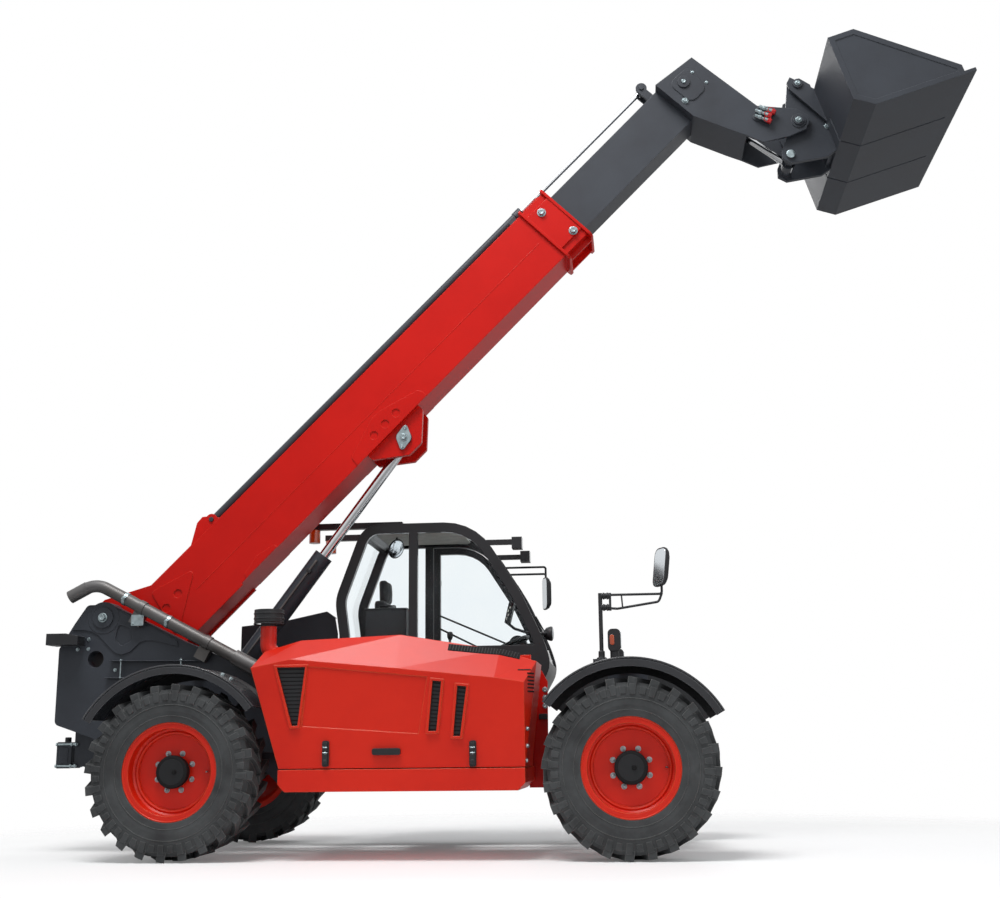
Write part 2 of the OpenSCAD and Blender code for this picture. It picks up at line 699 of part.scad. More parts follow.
module boom_plates() {
  slab(rounded(scaled(tail_plate_shares, boom_h, boom_h), plate_r), boom_w / 2 - boom_t, boom_w / 2 + plate_t);
  slab(scaled(low_plate_shares, boom_h, boom_h), boom_w / 2 - boom_t, boom_w / 2 + plate_t);
  translate([lift_a, 0, -boom_drop - boom_h]) slab(
    rounded(scaled(lug_plate_shares, lug_run, boom_h), [0, 0, plate_r / 2, plate_r, plate_r, plate_r, plate_r]),
    boom_w / 2 - boom_t, boom_w / 2 + plate_t
  );
}
module boom_plugs() {
  for (p = tail_plug_shares) translate([p[0] * boom_h, 0, p[1] * boom_h]) rod_y(plug_r, boom_w / 2, boom_w);
  for (p = lug_plug_shares) translate([lift_a + p[0] * lug_run, 0, p[1] * boom_h - boom_drop - boom_h])
    rod_y(plug_r, boom_w / 2, boom_w);
}
fin_l = 840;
fin_h = 148;
fin_shares = [
  [-1, -0.05], [0.107, -0.05], [0.021, 0.68], [-0.044, 1], [-0.119, 0.966], [-0.302, 0.33], [-1, 0.34]
];
module outer_boom() color("#b3150f") in_boom() {
  difference() {
    union() {
      pair() boom_plates();
      boom_tube(boom_tail, boom_front, boom_w, boom_h, boom_t);
      translate([boom_tail, -boom_w / 2, boom_mid - boom_h / 2]) cube([boom_t, boom_w, boom_h]);
      pair() slab(scaled(tail_shares, boom_h / 2, boom_h / 2), boom_w / 2 - boom_t * 2, boom_w / 2);
      rod_y(boss_r, -boss_w, boss_w);
      pair() translate([lift_a, 0, -boom_drop - boom_h]) slab(
        rounded(scaled(lift_lug_shares, lug_run, -lug_drop), [0, over, over, over, over, 0]),
        lug_out - lug_t, lug_out
      );
      pair() translate([ext_back, 0, 0]) {
        slab(moved(scaled(fin_shares, fin_l, fin_h), [0, -boom_drop]), ear_in, ear_in + ear_t);
        translate([0, 0, ext_rise]) rod_y(ear_r, ear_in, ear_in + ear_t);
      }
    }
    pair() boom_plugs();
    rod_y(pivot_r + fit, -boom_w, boom_w);
    translate([lift_a, 0, -lift_drop]) rod_y(lug_pin_r + fit, -boom_w, boom_w);
    translate([ext_back, 0, ext_rise]) rod_y(ear_pin_r + fit, -boom_w, boom_w);
  }
}

collar_t = 22;
collar_rim = 26;
collar_lobe = 46;
web_shares = [0.12, 0.88];
web_t = 16;
rib_shares = [-0.3, 0.3];
collar_line = rounded([
  [-boom_w / 2 - collar_rim, boom_mid - boom_h / 2 - collar_lobe],
  [boom_w / 2 + collar_rim, boom_mid - boom_h / 2 - collar_lobe],
  [boom_w / 2 + collar_rim, -boom_drop + collar_rim], [boom_w / 2 - collar_lobe, -boom_drop + collar_rim],
  [boom_w / 2 - collar_lobe, -boom_drop - collar_rim], [-boom_w / 2 + collar_lobe, -boom_drop - collar_rim],
  [-boom_w / 2 + collar_lobe, -boom_drop + collar_rim], [-boom_w / 2 - collar_rim, -boom_drop + collar_rim]
], [collar_lobe, collar_lobe, collar_rim / 2, collar_rim / 2, 0, 0, collar_rim / 2, collar_rim / 2]);
module boom_collar() color("#b3150f") in_boom() difference() {
  union() {
    for (a = [boom_l, boom_front - collar_t]) translate([a, 0, 0]) rotate([90, 0, 90]) linear_extrude(collar_t)
      polygon(collar_line);
    pair() translate([boom_l, boom_w / 2 - over, boom_mid - boom_h / 2])
      box([0, 0, web_shares[0] * boom_h], [collar_l, over + web_t, web_shares[1] * boom_h]);
    for (r = rib_shares) translate([boom_l, r * boom_w - web_t / 2, boom_mid - boom_h / 2 - collar_lobe])
      cube([collar_l, web_t, collar_lobe + over]);
  }
  translate([boom_l - over, -boom_w / 2, boom_mid - boom_h / 2]) cube([collar_l + over * 2, boom_w, boom_h]);
}

module front_pads() color("#d8d4c8") in_boom() {
  for (s = [-1, 1]) {
    translate([boom_front - pad_l, s * (boom_w / 2 - boom_t - pad_w / 2 + slide / 2) - (pad_w - slide) / 2,
      boom_mid - inner_h / 4]) cube([pad_l, pad_w - slide, inner_h / 2]);
    translate([boom_front - pad_l, -inner_w / 4,
      boom_mid + s * (boom_h / 2 - boom_t - pad_h / 2 + slide / 2) - (pad_h - slide) / 2])
      cube([pad_l, inner_w / 2, pad_h - slide]);
  }
}

inner_back = inner_tip - inner_l;
module rear_pads() color("#d8d4c8") in_boom() {
  for (s = [-1, 1]) {
    translate([inner_back, s * (inner_w / 2 + pad_w / 2 - slide / 2) - (pad_w - slide) / 2, boom_mid - inner_h / 4])
      cube([pad_l, pad_w - slide, inner_h / 2]);
    translate([inner_back, -inner_w / 4,
      boom_mid + s * (inner_h / 2 + pad_h / 2 - slide / 2) - (pad_h - slide) / 2])
      cube([pad_l, inner_w / 2, pad_h - slide]);
  }
}

module inner_boom() color("#26282b") in_boom() {
  boom_tube(inner_back, inner_tip, inner_w, inner_h, boom_t);
  difference() {
    pair() translate([ext_eye, 0, 0]) {
      slab([
        [-ear_r, boom_mid + inner_h / 2 - boom_t / 2], [over, boom_mid + inner_h / 2 - boom_t / 2],
        [over, ext_rise], [-ear_r, ext_rise]
      ], ear_in, ear_in + ear_t);
      translate([0, 0, ext_rise]) rod_y(ear_r, ear_in, ear_in + ear_t);
    }
    translate([ext_eye, 0, ext_rise]) rod_y(ear_pin_r + fit, -boom_w, boom_w);
  }
}

gland_l = 70;
module extension_barrel() color("#26282b") in_boom() translate([0, 0, ext_rise]) {
  difference() {
    union() {
      rod_x(ext_d / 2, ext_back, ext_gland);
      translate([ext_back, 0, 0]) rod_y(ear_r - over / 4, -ear_in + shut / 3, ear_in - shut / 3);
      translate([boom_l - gland_l - shut, -ext_d / 2, -ext_rise - boom_drop])
        cube([gland_l, ext_d, ext_rise + boom_drop]);
      rod_x(ext_d / 2 + shut, ext_gland - gland_l, ext_gland);
    }
    rod_x(ext_rod_d / 2 + fit, ext_back + ear_r * 2, ext_gland + over);
  }
  translate([ext_back, 0, 0]) rod_y(ear_pin_r, -ear_in - ear_t - over / 2, ear_in + ear_t + over / 2);
}
ext_rod_back = 2400;
module extension_rod() color("#c9ccd0") in_boom() translate([0, 0, ext_rise]) {
  rod_x(ext_rod_d / 2, ext_rod_back, ext_eye);
  translate([ext_eye, 0, 0]) {
    rod_y(ear_r - over / 4, -ear_in + shut / 3, ear_in - shut / 3);
    rod_y(ear_pin_r, -ear_in - ear_t - over / 2, ear_in + ear_t + over / 2);
  }
}

// Head

head_shares = [
  [0.0, -0.075], [0.717, -0.121], [0.771, -0.712], [1.13, -0.93], [1.17, -1.03], [0.98, -1.08], [0.72, -1.03],
  [0.383, -0.926], [0.297, -0.803], [0.203, -0.693], [0.0, -0.43]
];
back_shares = [[0.0, -0.075], [0.05, -0.078], [0.05, -0.46], [0.0, -0.43]];
crown_shares = [[0.0, -0.075], [0.717, -0.121], [0.771, -0.712], [0.74, -0.712], [0.69, -0.135], [0.0, -0.09]];
under_shares = [[0.0, -0.43], [0.203, -0.693], [0.297, -0.803], [0.33, -0.797], [0.235, -0.685], [0.03, -0.42]];
cover_plate_shares = [[0.14, -0.36], [0.47, -0.36], [0.6, -0.15], [0.14, -0.14]];
cover_plate_r = 60;
pivot_pin_r = 40;
pin_ring_share = 1.45;
tilt_shares = [0.316, -0.211];
tilt_eye_shares = [0.539, -1.119];
tilt_pin_r = 34;
tilt_at = [inner_tip + tilt_shares[0] * head_l, tilt_shares[1] * head_drop];
tilt_eye = [inner_tip + tilt_eye_shares[0] * head_l, tilt_eye_shares[1] * head_drop];
tilt_run = norm(tilt_eye - tilt_at);
tilt_dir = atan2(tilt_eye[1] - tilt_at[1], tilt_eye[0] - tilt_at[0]);
module boom_head() color("#26282b") in_boom() difference() {
  union() {
    translate([inner_tip, 0, 0]) {
      pair() slab(scaled(head_shares, head_l, head_drop), head_w / 2 - head_t, head_w / 2);
      for (w = [back_shares, crown_shares, under_shares])
        slab(scaled(w, head_l, head_drop), -head_w / 2 + over / 4, head_w / 2 - over / 4);
      pair() slab(
        rounded(scaled(cover_plate_shares, head_l, head_drop), cover_plate_r), head_w / 2 - head_t / 2, head_w / 2 + plate_t
      );
    }
    translate([hitch_a, 0, -head_drop]) rod_y(pivot_pin_r, -head_w / 2 - over, head_w / 2 + over);
    pair() translate([hitch_a, 0, -head_drop]) {
      rod_y(pivot_pin_r * 2, head_w / 2 - head_t, head_w / 2);
      rod_y(pivot_pin_r * pin_ring_share, head_w / 2, head_w / 2 + plate_t);
    }
  }
  translate([tilt_at[0], 0, tilt_at[1]]) rod_y(tilt_pin_r + fit, -head_w, head_w);
}

tilt_gland = 640;
tilt_tail = 430;
module in_tilt() in_boom() translate([tilt_at[0], 0, tilt_at[1]]) rotate([0, -tilt_dir, 0]) children();
module tilt_barrel() color("#26282b") in_tilt() {
  difference() {
    rod_x(tilt_d / 2, 0, tilt_gland);
    rod_x(tilt_rod_d / 2 + fit, tilt_d, tilt_gland + over);
  }
  rod_y(tilt_d / 2, -tilt_d / 2, tilt_d / 2);
  rod_y(tilt_pin_r, -head_w / 2 - over, head_w / 2 + over);
  pair() rod_y(tilt_pin_r * pin_ring_share, head_w / 2 + plate_t + slide, head_w / 2 + over);
}
tilt_eye_r = 52;
tilt_eye_w = 42;
module tilt_rod() color("#c9ccd0") in_tilt() difference() {
  union() {
    rod_x(tilt_rod_d / 2, tilt_tail, tilt_run);
    translate([tilt_run, 0, 0]) rod_y(tilt_eye_r, -tilt_eye_w, tilt_eye_w);
  }
  translate([tilt_run, 0, 0]) rod_y(tilt_pin_r, -tilt_eye_w - over, tilt_eye_w + over);
}

// Carriage and bucket

side_gap = 26;
side_out = head_w / 2 - head_t - side_gap;
side_t = 36;
car_shares = [
  [0.19, 0.86], [0.70, 0.90], [1.0, 0.70], [1.0, -0.77], [0.58, -0.84], [-0.78, -0.73], [-1.04, -0.58],
  [-0.95, -0.42], [-0.42, -0.10], [-0.42, 0.15]
];
bar_shares = [-0.7, -0.3];
hook_shares = [0.505, 0.745];
hook_r = 38;
hook_half = 250;
low_shares = [-0.705, -0.565];
hook_at = [hook_shares[0] * bucket_off, hook_shares[1] * bucket_under];
low_at = [low_shares[0] * bucket_off, low_shares[1] * bucket_under];
module carriage() color("#26282b") in_bucket() {
  difference() {
    union() {
      pair() slab(scaled(car_shares, bucket_off, bucket_under), side_out - side_t, side_out);
      rod_y(pivot_pin_r * 3 / 2, -side_out, side_out);
      box(
        [bucket_off - side_t, -side_out, bar_shares[0] * bucket_under],
        [bucket_off, side_out, bar_shares[1] * bucket_under]
      );
    }
    rod_y(pivot_pin_r + fit, -head_w, head_w);
  }
  translate([hook_at[0], 0, hook_at[1]]) rod_y(hook_r, -hook_half, hook_half);
  pair() translate([low_at[0], 0, low_at[1]]) rod_y(tilt_pin_r, tilt_eye_w + over, side_out + over);
}

heel_shares = [0.165, 0.158];
side_shares = [[0.244, 1.008], [1.0, 0.123]];
ear_side_t = 25;
ear_w = side_out + over;
edge_t = 25;
groove_w = 22;
groove_d = 5;
groove_share = 1 / 6;
border_w = 40;
ear_low_share = 0.5;
bucket_line = [
  [0, bucket_h], [0, heel_shares[1] * bucket_h], [heel_shares[0] * bucket_l, 0], [bucket_l, 0],
  [bucket_l, side_shares[1][1] * bucket_h], [side_shares[0][0] * bucket_l, bucket_h]
];
bucket_ear = [
  [over / 2, ear_low_share * bucket_h], [over / 2, bucket_h],
  [hook_at[0] - bucket_off - hook_r, bucket_under + hook_at[1] + hook_r * 2],
  [hook_at[0] - bucket_off - hook_r * 2, bucket_under + hook_at[1] + hook_r],
  [hook_at[0] - bucket_off - hook_r * 2, bucket_under + hook_at[1] - hook_r / 2]
];
module bucket() color("#26282b") in_bucket() translate([bucket_off, 0, -bucket_under]) difference() {
  union() {
    slab(bucket_line, -bucket_w / 2, bucket_w / 2);
    box([bucket_l - over, -bucket_w / 2, 0], [bucket_l + lip_l, bucket_w / 2, edge_t]);
    pair() difference() {
      slab(bucket_ear, ear_w, ear_w + ear_side_t);
      translate([hook_at[0] - bucket_off, 0, bucket_under + hook_at[1]]) rod_y(hook_r + fit, 0, head_w);
    }
  }
  slab([
    [bucket_t, bucket_h - bucket_t], [bucket_t, heel_shares[1] * bucket_h], [heel_shares[0] * bucket_l, bucket_t],
    [bucket_l + lip_l + over, edge_t], [bucket_l + lip_l + over, bucket_h - bucket_t]
  ], -bucket_w / 2 + bucket_t, bucket_w / 2 - bucket_t);
  // Seams of the floor's and the back's three panels, and the set-back middle of a side plate
  pair() {
    slab([
      [-over, ear_low_share * bucket_h], [-over, -over], [bucket_l, -over], [bucket_l, groove_d],
      [heel_shares[0] * bucket_l + groove_d / 2, groove_d], [groove_d, heel_shares[1] * bucket_h + groove_d / 2],
      [groove_d, ear_low_share * bucket_h]
    ], groove_share * bucket_w - groove_w / 2, groove_share * bucket_w + groove_w / 2);
    slab(inset(bucket_line, border_w), bucket_w / 2 - groove_d, bucket_w / 2 + over);
  }
}

// Lift cylinder

lift_gland = 1098;
lift_rod_l = 1520;
lift_eye_r = 72;
lift_bore_r = 56;
base_eye_r = 84;
base_eye_w = 76;
module lift_rod() color("#c9ccd0") in_lift() {
  rod_x(lift_rod_d / 2, 0, lift_rod_l);
  rod_y(lift_eye_r, -lug_out + lug_t + shut, lug_out - lug_t - shut);
  rod_y(lug_pin_r, -lug_out - over, lug_out + over);
  pair() rod_y(lug_pin_r * 3 / 2, lug_out + shut / 3, lug_out + over);
}
module lift_barrel() color("#26282b") in_lift() difference() {
  union() {
    rod_x(lift_d / 2, lift_gland, lift_l);
    translate([lift_l, 0, 0]) rod_y(base_eye_r, -base_eye_w, base_eye_w);
  }
  rod_x(lift_rod_d / 2 + fit, lift_gland - over, lift_l - base_eye_r * 3);
  rod_x(lift_bore_r, lift_gland + gland_l, lift_l - base_eye_r * 3);
  translate([lift_l, 0, 0]) rod_y(base_boss_r, -base_eye_w - over, base_eye_w + over);
}

// Cab

cab_shares = [
  [0.023, 0], [0.929, 0], [0.938, 0.2], [1, 0.314], [0.966, 0.43], [0.86, 0.666], [0.654, 1], [0.128, 1],
  [0, 0.639], [0.023, 0.472]
];
cab_rounds = [0, 0, 220, 200, 900, 1400, 450, 190, 300, 0];
cab_out = cab_in + cab_w;
cab_line = rounded(moved(scaled(cab_shares, cab_l, cab_h), [cab_x, rail_top]), cab_rounds);
post_w = 76;
front_shares = [[0.56, 1.05], [0.56, 0.5], [0.8, 0.33], [1.05, 0.33], [1.05, 1.05]];
rear_shares = [[-0.05, 0.46], [0.15, 0.46], [0.15, 0.94], [-0.05, 0.94]];
quarter_shares = [[-0.05, 0.41], [0.345, 0.41], [0.345, 1.05], [-0.05, 1.05]];
pane_shares = [[0.385, 0.41], [1.05, 0.41], [1.05, 1.05], [0.385, 1.05]];
door_shares = [[0.385, 0.05], [1.05, 0.05], [1.05, 1.05], [0.385, 1.05]];
// Part of the cab's side, moved in by d from its outline and its zone
module cab_side(zone, d, e, low, high) intersection() {
  slab(inset(cab_line, d), low, high);
  slab(inset(cab_points(zone), e), low - over, high + over);
}
// Shell of the cab's roof, front and back, from d to d plus t under its surface
module cab_band(zone, d, t, e, low, high) intersection() {
  difference() {
    slab(inset(cab_line, d), low, high);
    slab(inset(cab_line, d + t), low - over, high + over);
  }
  slab(inset(cab_points(zone), e), low - over, high + over);
}
function cab_points(shares) = moved(scaled(shares, cab_l, cab_h), [cab_x, rail_top]);
door_back_share = 0.385;
door_axis_x = cab_x + door_back_share * cab_l;
door_axis_out = 20;
door_axis_y = cab_out + door_axis_out;
door_hinge_shares = [0.2, 0.75];
knuckle_h = 60;
knuckle_r = 16;
door_pin_r = 8;
beam_shares = [-0.15, 0.3];
beam_y = 150;
beam_w = 60;
beam_h = 36;
bracket_shares = [[0.715, 0.885], [0.825, 0.885], [0.825, 0.91], [0.69, 0.91]];
bracket_w = 30;
module cab_frame() color("#1f2123") placed() {
  difference() {
    slab(cab_line, cab_in, cab_out);
    slab(inset(cab_line, cab_t), cab_in + cab_t, cab_out - cab_t);
    for (zone = [front_shares, rear_shares])
      slab(cab_points(zone), cab_in + cab_t, cab_out - cab_t);
    cab_side(quarter_shares, post_w, 0, cab_in - over, cab_out + over);
    cab_side(pane_shares, post_w, 0, cab_in - over, cab_in + cab_t + over);
    cab_side(door_shares, post_w, 0, cab_out - cab_t - over, cab_out + over);
  }
  for (s = door_hinge_shares) translate([door_axis_x, door_axis_y, rail_top + s * cab_h]) {
    box([-knuckle_r * 3, -door_axis_out - shut, 0], [-shut, 0, knuckle_h / 3]);
    cylinder(r = knuckle_r, h = knuckle_h / 3);
    cylinder(r = door_pin_r, h = knuckle_h);
  }
  for (y = [cab_in + beam_y, cab_out - beam_y]) translate([cab_x, y, rail_top + cab_h])
    box([beam_shares[0] * cab_l, -beam_w / 2, -beam_h / 3], [beam_shares[1] * cab_l, beam_w / 2, beam_h]);
  for (y = [cab_in, cab_out - bracket_w]) slab(cab_points(bracket_shares), y, y + bracket_w);
}
glass_depth = 12;
module cab_glass() color([0.6, 0.7, 0.75, 0.4]) placed() {
  for (zone = [front_shares, rear_shares])
    cab_band(zone, glass_depth, glass_t, slide, cab_in + cab_t + slide, cab_out - cab_t - slide);
  for (y = [cab_in + glass_depth, cab_out - glass_depth - glass_t])
    cab_side(quarter_shares, post_w + slide, slide, y, y + glass_t);
  cab_side(pane_shares, post_w + slide, slide, cab_in + glass_depth, cab_in + glass_depth + glass_t);
}
door_bar = 55;
module door_frame() color("#1f2123") placed() difference() {
  union() {
    cab_side(door_shares, post_w + shut, shut, cab_out - cab_t, cab_out);
    for (s = door_hinge_shares)
      translate([door_axis_x, door_axis_y, rail_top + s * cab_h + knuckle_h / 3 + shut / 6]) {
        cylinder(r = knuckle_r, h = knuckle_h * 2 / 3 - shut / 3);
        box([0, -knuckle_r - over / 2, 0], [knuckle_r * 4, 0, knuckle_h * 2 / 3 - shut / 3]);
      }
  }
  cab_side(door_shares, post_w + shut + door_bar, shut + door_bar, cab_out - cab_t - over, cab_out + over * 3);
  for (s = door_hinge_shares) translate([door_axis_x, door_axis_y, rail_top + s * cab_h])
    cylinder(r = door_pin_r + fit, h = knuckle_h * 2);
}
module door_glass() color([0.6, 0.7, 0.75, 0.4]) placed() cab_side(
  door_shares, post_w + shut + door_bar + slide, shut + door_bar + slide, cab_out - glass_depth - glass_t,
  cab_out - glass_depth
);

floor_z = rail_top + cab_t;
seat_at_share = 0.32;
seat_x = cab_x + seat_at_share * cab_l;
seat_y = cab_in + cab_w / 2;
seat_w = 480;
seat_l = 480;
seat_h = 480;
seat_round = 36;
back_lean_shares = [[-0.5, 0.9], [-0.22, 0.9], [-0.36, 2.15], [-0.56, 2.15]];
rest_shares = [[-0.53, 2.1], [-0.38, 2.1], [-0.4, 2.5], [-0.55, 2.5]];
module seat() color("#1a1a1b") placed() translate([seat_x, seat_y, floor_z]) {
  box([-seat_l / 2, -seat_w / 3, 0], [seat_l / 3, seat_w / 3, seat_h * 3 / 4]);
  slab(rounded([
    [-seat_l / 2, seat_h * 3 / 4 - over], [seat_l / 2, seat_h * 3 / 4 - over],
    [seat_l / 2, seat_h], [-seat_l / 2, seat_h]
  ], seat_round), -seat_w / 2, seat_w / 2);
  slab(rounded(scaled(back_lean_shares, seat_l, seat_h), seat_round), -seat_w / 2, seat_w / 2);
  slab(rounded(scaled(rest_shares, seat_l, seat_h), seat_round / 2), -seat_w / 4, seat_w / 4);
}

wheel_r = 190;
grip_r = 15;
column_tilt = 25;
column_share = 0.79;
desk_shares = [0.08, 0.3];
column_shares = [0.28, 0.12];
module steering_column() color("#1a1a1b") placed() translate([cab_x + column_share * cab_l, seat_y, floor_z]) {
  box([0, -cab_w / 4, 0], [desk_shares[0] * cab_l, cab_w / 4, desk_shares[1] * cab_h]);
  translate([cab_t, 0, cab_h * column_shares[0]]) rotate([0, -column_tilt, 0]) {
    cylinder(r = grip_r * 2, h = cab_h * column_shares[1]);
    translate([0, 0, cab_h * column_shares[1]]) {
      rotate_extrude() translate([wheel_r, 0]) circle(r = grip_r);
      for (a = [0, 120, 240]) rotate(a) rod_x(grip_r * 2 / 3, 0, wheel_r);
    }
  }
}

tank_back = 981;
tank_fore = 869;
tank_l = wheel_base - tank_back - tank_fore;
tank_x = tank_back;
step_shares = [[0.2, 0.5], [0.6, 0.9]];
step_run_shares = [0.45, 0.85];
step_in_share = 0.12;
module side_tank() color("#26282b") placed() difference() {
  box([tank_x, rail_half, sill_low], [tank_x + tank_l, cab_out - over, rail_top]);
  for (s = step_shares) box(
    [tank_x + step_run_shares[0] * tank_l, cab_out - step_in_share * tank_l,
      sill_low + s[0] * (rail_top - sill_low)],
    [tank_x + step_run_shares[1] * tank_l, cab_out, sill_low + s[1] * (rail_top - sill_low)]
  );
}

// Trim that stands out

fender_in = wheel_y + tyre_w / 2 - fender_w;
fender_out = fender_in + fender_w - shut;
skirt_h = 46;
arc_shares = [[37, 113], [30, 113]];
bar_t = 40;
module fender_solid(arc) {
  rotate([90, 0, 0]) mirror([0, 0, 1]) rotate(arc[0]) rotate_extrude(angle = arc[1]) polygon([
    [fender_r, fender_in], [fender_r + fender_t, fender_in], [fender_r + fender_t, fender_out - fender_t],
    [fender_r, fender_out], [fender_r - skirt_h, fender_out], [fender_r - skirt_h, fender_out - fender_t],
    [fender_r, fender_out - fender_t]
  ]);
}
module fenders() color("#1c1d1f") placed() pair() {
  translate([0, 0, axle_z]) {
    fender_solid(arc_shares[0]);
    box([-bar_t * 3, tower_half, fender_r - bar_t / 2], [-bar_t, fender_in + bar_t * 2, fender_r + fender_t]);
  }
  translate([wheel_base, 0, axle_z]) {
    fender_solid(arc_shares[1]);
    box(
      [-fender_r / 3, wheel_y - bar_t, fender_r - bar_t], [-bar_t, wheel_y + bar_t, fender_r + fender_t]
    );
    box([-bar_t * 2, rail_half, fender_r - bar_t / 2], [bar_t, fender_in + bar_t * 2, fender_r + fender_t]);
  }
}

pipe_r = 46;
pipe_y = 400;
pipe_run = 1290;
pipe_slope = 27.6;
pipe_bend = 180;
pipe_drop = 55;
tip_l = 130;
sleeve_r = 58;
sleeve_l = 240;
sleeve_back = 90;
pipe_shares = [0.808, 0.513];
clamp_shares = [0.3, 0.75];
module exhaust() color("#55585c") placed()
  translate([-rear_overhang + pipe_shares[0] * tower_run, -pipe_y, rail_top + pipe_shares[1] * tower_rise])
    rotate([0, pipe_slope, 0]) {
      rod_x(pipe_r, -pipe_run, 0);
      rod_x(sleeve_r, sleeve_back - sleeve_l, sleeve_back);
      translate([-pipe_run, 0, -pipe_bend]) rotate([-90, 0, 0]) rotate([0, 0, -90]) {
        rotate_extrude(angle = -pipe_drop) translate([pipe_bend, 0]) circle(r = pipe_r);
        rotate(-pipe_drop) translate([pipe_bend, over, 0]) rotate([90, 0, 0])
          cylinder(r = pipe_r + shut / 2, h = tip_l + over);
      }
      for (k = [0, 1]) let(at = -clamp_shares[k] * pipe_run, foot = k * contour_t + slide) {
        box([at - pipe_r, 0, -pipe_r * 3], [at + pipe_r, pipe_y - tower_half - foot, -pipe_r / 2]);
        rod_x(pipe_r + shut, at - pipe_r / 2, at + pipe_r / 2);
      }
    }

cap_r = 105;
cap_h = 118;
module air_intake() color("#1a1a1b") placed() mirror([0, 1, 0])
  translate(intake_at) {
    cylinder(r = intake_r, h = cap_h / 4);
    translate([0, 0, cap_h / 4]) cylinder(r = cap_r, h = cap_h * 3 / 4);
  }

post_r = 14;
post_up = 440;
arm_l = 420;
mirror_h = 270;
mirror_w = 160;
mirror_t = 42;
mirror_round = 50;
mirror_turn = 18;
mirror_rise = 40;
brace_share = 0.6;
left_shares = [0.8, 0.842];
left_arm_l = 250;
left_in = 36;
left_drop = 90;
mirror_line = rounded([
  [-mirror_w / 2, 0], [mirror_w / 2, 0], [mirror_w / 2, mirror_h], [-mirror_w / 2, mirror_h]
], mirror_round);
module mirror_head() rotate([0, 0, mirror_turn]) rotate([90, 0, 90]) translate([0, 0, -mirror_t / 2])
  linear_extrude(mirror_t) polygon(mirror_line);
module mirrors() color("#1a1a1b") placed() {
  mirror([0, 1, 0]) translate([wheel_base - fender_r / 4, wheel_y, axle_z + fender_r + fender_t]) {
    cylinder(r = post_r, h = post_up);
    translate([0, 0, post_up - post_r]) rod_x(post_r, 0, arm_l);
    translate([0, 0, brace_share * post_up]) rotate([0, -atan2((1 - brace_share) * post_up - post_r, arm_l), 0])
      rod_x(post_r * 2 / 3, 0, norm([arm_l, (1 - brace_share) * post_up - post_r]));
    translate([arm_l, 0, post_up - post_r * 2]) cylinder(r = post_r, h = mirror_rise * 3);
    translate([arm_l, 0, post_up + mirror_rise]) mirror_head();
  }
  difference() {
    translate([cab_x + left_shares[0] * cab_l, cab_out - left_in, rail_top + left_shares[1] * cab_h]) {
      rod_x(post_r, -left_arm_l, left_arm_l);
      translate([left_arm_l, 0, -left_drop * 2]) cylinder(r = post_r, h = left_drop * 2 + post_r);
      translate([left_arm_l, 0, -left_drop - mirror_h]) mirror_head();
    }
    slab(cab_line, cab_in, cab_out);
  }
}

lamp_r = 45;
lamp_l = 70;
lamp_box = [80, 110, 90];
tail_lamp_w = 130;
module lamps() color("#c4531a") placed() {
  pair() {
    translate([wheel_base - fender_r / 8, wheel_y, axle_z + fender_r + fender_t])
      cylinder(r = lamp_r * 2 / 3, h = lamp_l);
    translate([0, tower_half + lamp_arm_t + slide, 0]) slab(
      moved(scaled(arm_shares, tower_run, tower_rise), [-rear_overhang, rail_top]), 0, tail_lamp_w
    );
  }
  for (y = [cab_in + beam_y, cab_out - beam_y])
    translate([cab_x + beam_shares[0] * cab_l + lamp_r, y, rail_top + cab_h - beam_h / 3 - slide - lamp_l * 3 / 2])
      cylinder(r = lamp_r, h = lamp_l * 3 / 2);
  for (y = [cab_in, cab_out - lamp_box[1]])
    translate([cab_x + bracket_shares[1][0] * cab_l + slide, y,
      rail_top + bracket_shares[1][1] * cab_h - lamp_box[2] / 3]) cube(lamp_box);
}

frame();
rear_block();
crossmembers();
driveline();
tow_hitch();
front_axle();
rear_axle();
engine();
engine_bay();
exhaust();
fenders();
cab_frame();
cab_glass();
seat();
steering_column();
side_tank();
mirrors();
lamps();
outer_boom();
boom_collar();
front_pads();
extension_barrel();
inner_boom();
rear_pads();
boom_head();
extension_rod();
tilt_barrel();
tilt_rod();
carriage();
bucket();
lift_barrel();
lift_rod();
knuckle_fl();
knuckle_fr();
knuckle_rl();
knuckle_rr();
rim_fl();
rim_fr();
rim_rl();
rim_rr();
tyre_fl();
tyre_fr();
tyre_rl();
tyre_rr();
door_frame();
door_glass();
engine_cover();
cover_trim();
air_intake();
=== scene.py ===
"""Looks of a telehandler: a finish for every solid, and the small pieces that dress it.

Metres. +X is forward, +Y is the machine's left, +Z is up, and the tyres stand on z = 0.
"""
import json
import cmath
import math

import bmesh
import bpy
from mathutils import Matrix, Vector
from mathutils.bvhtree import BVHTree


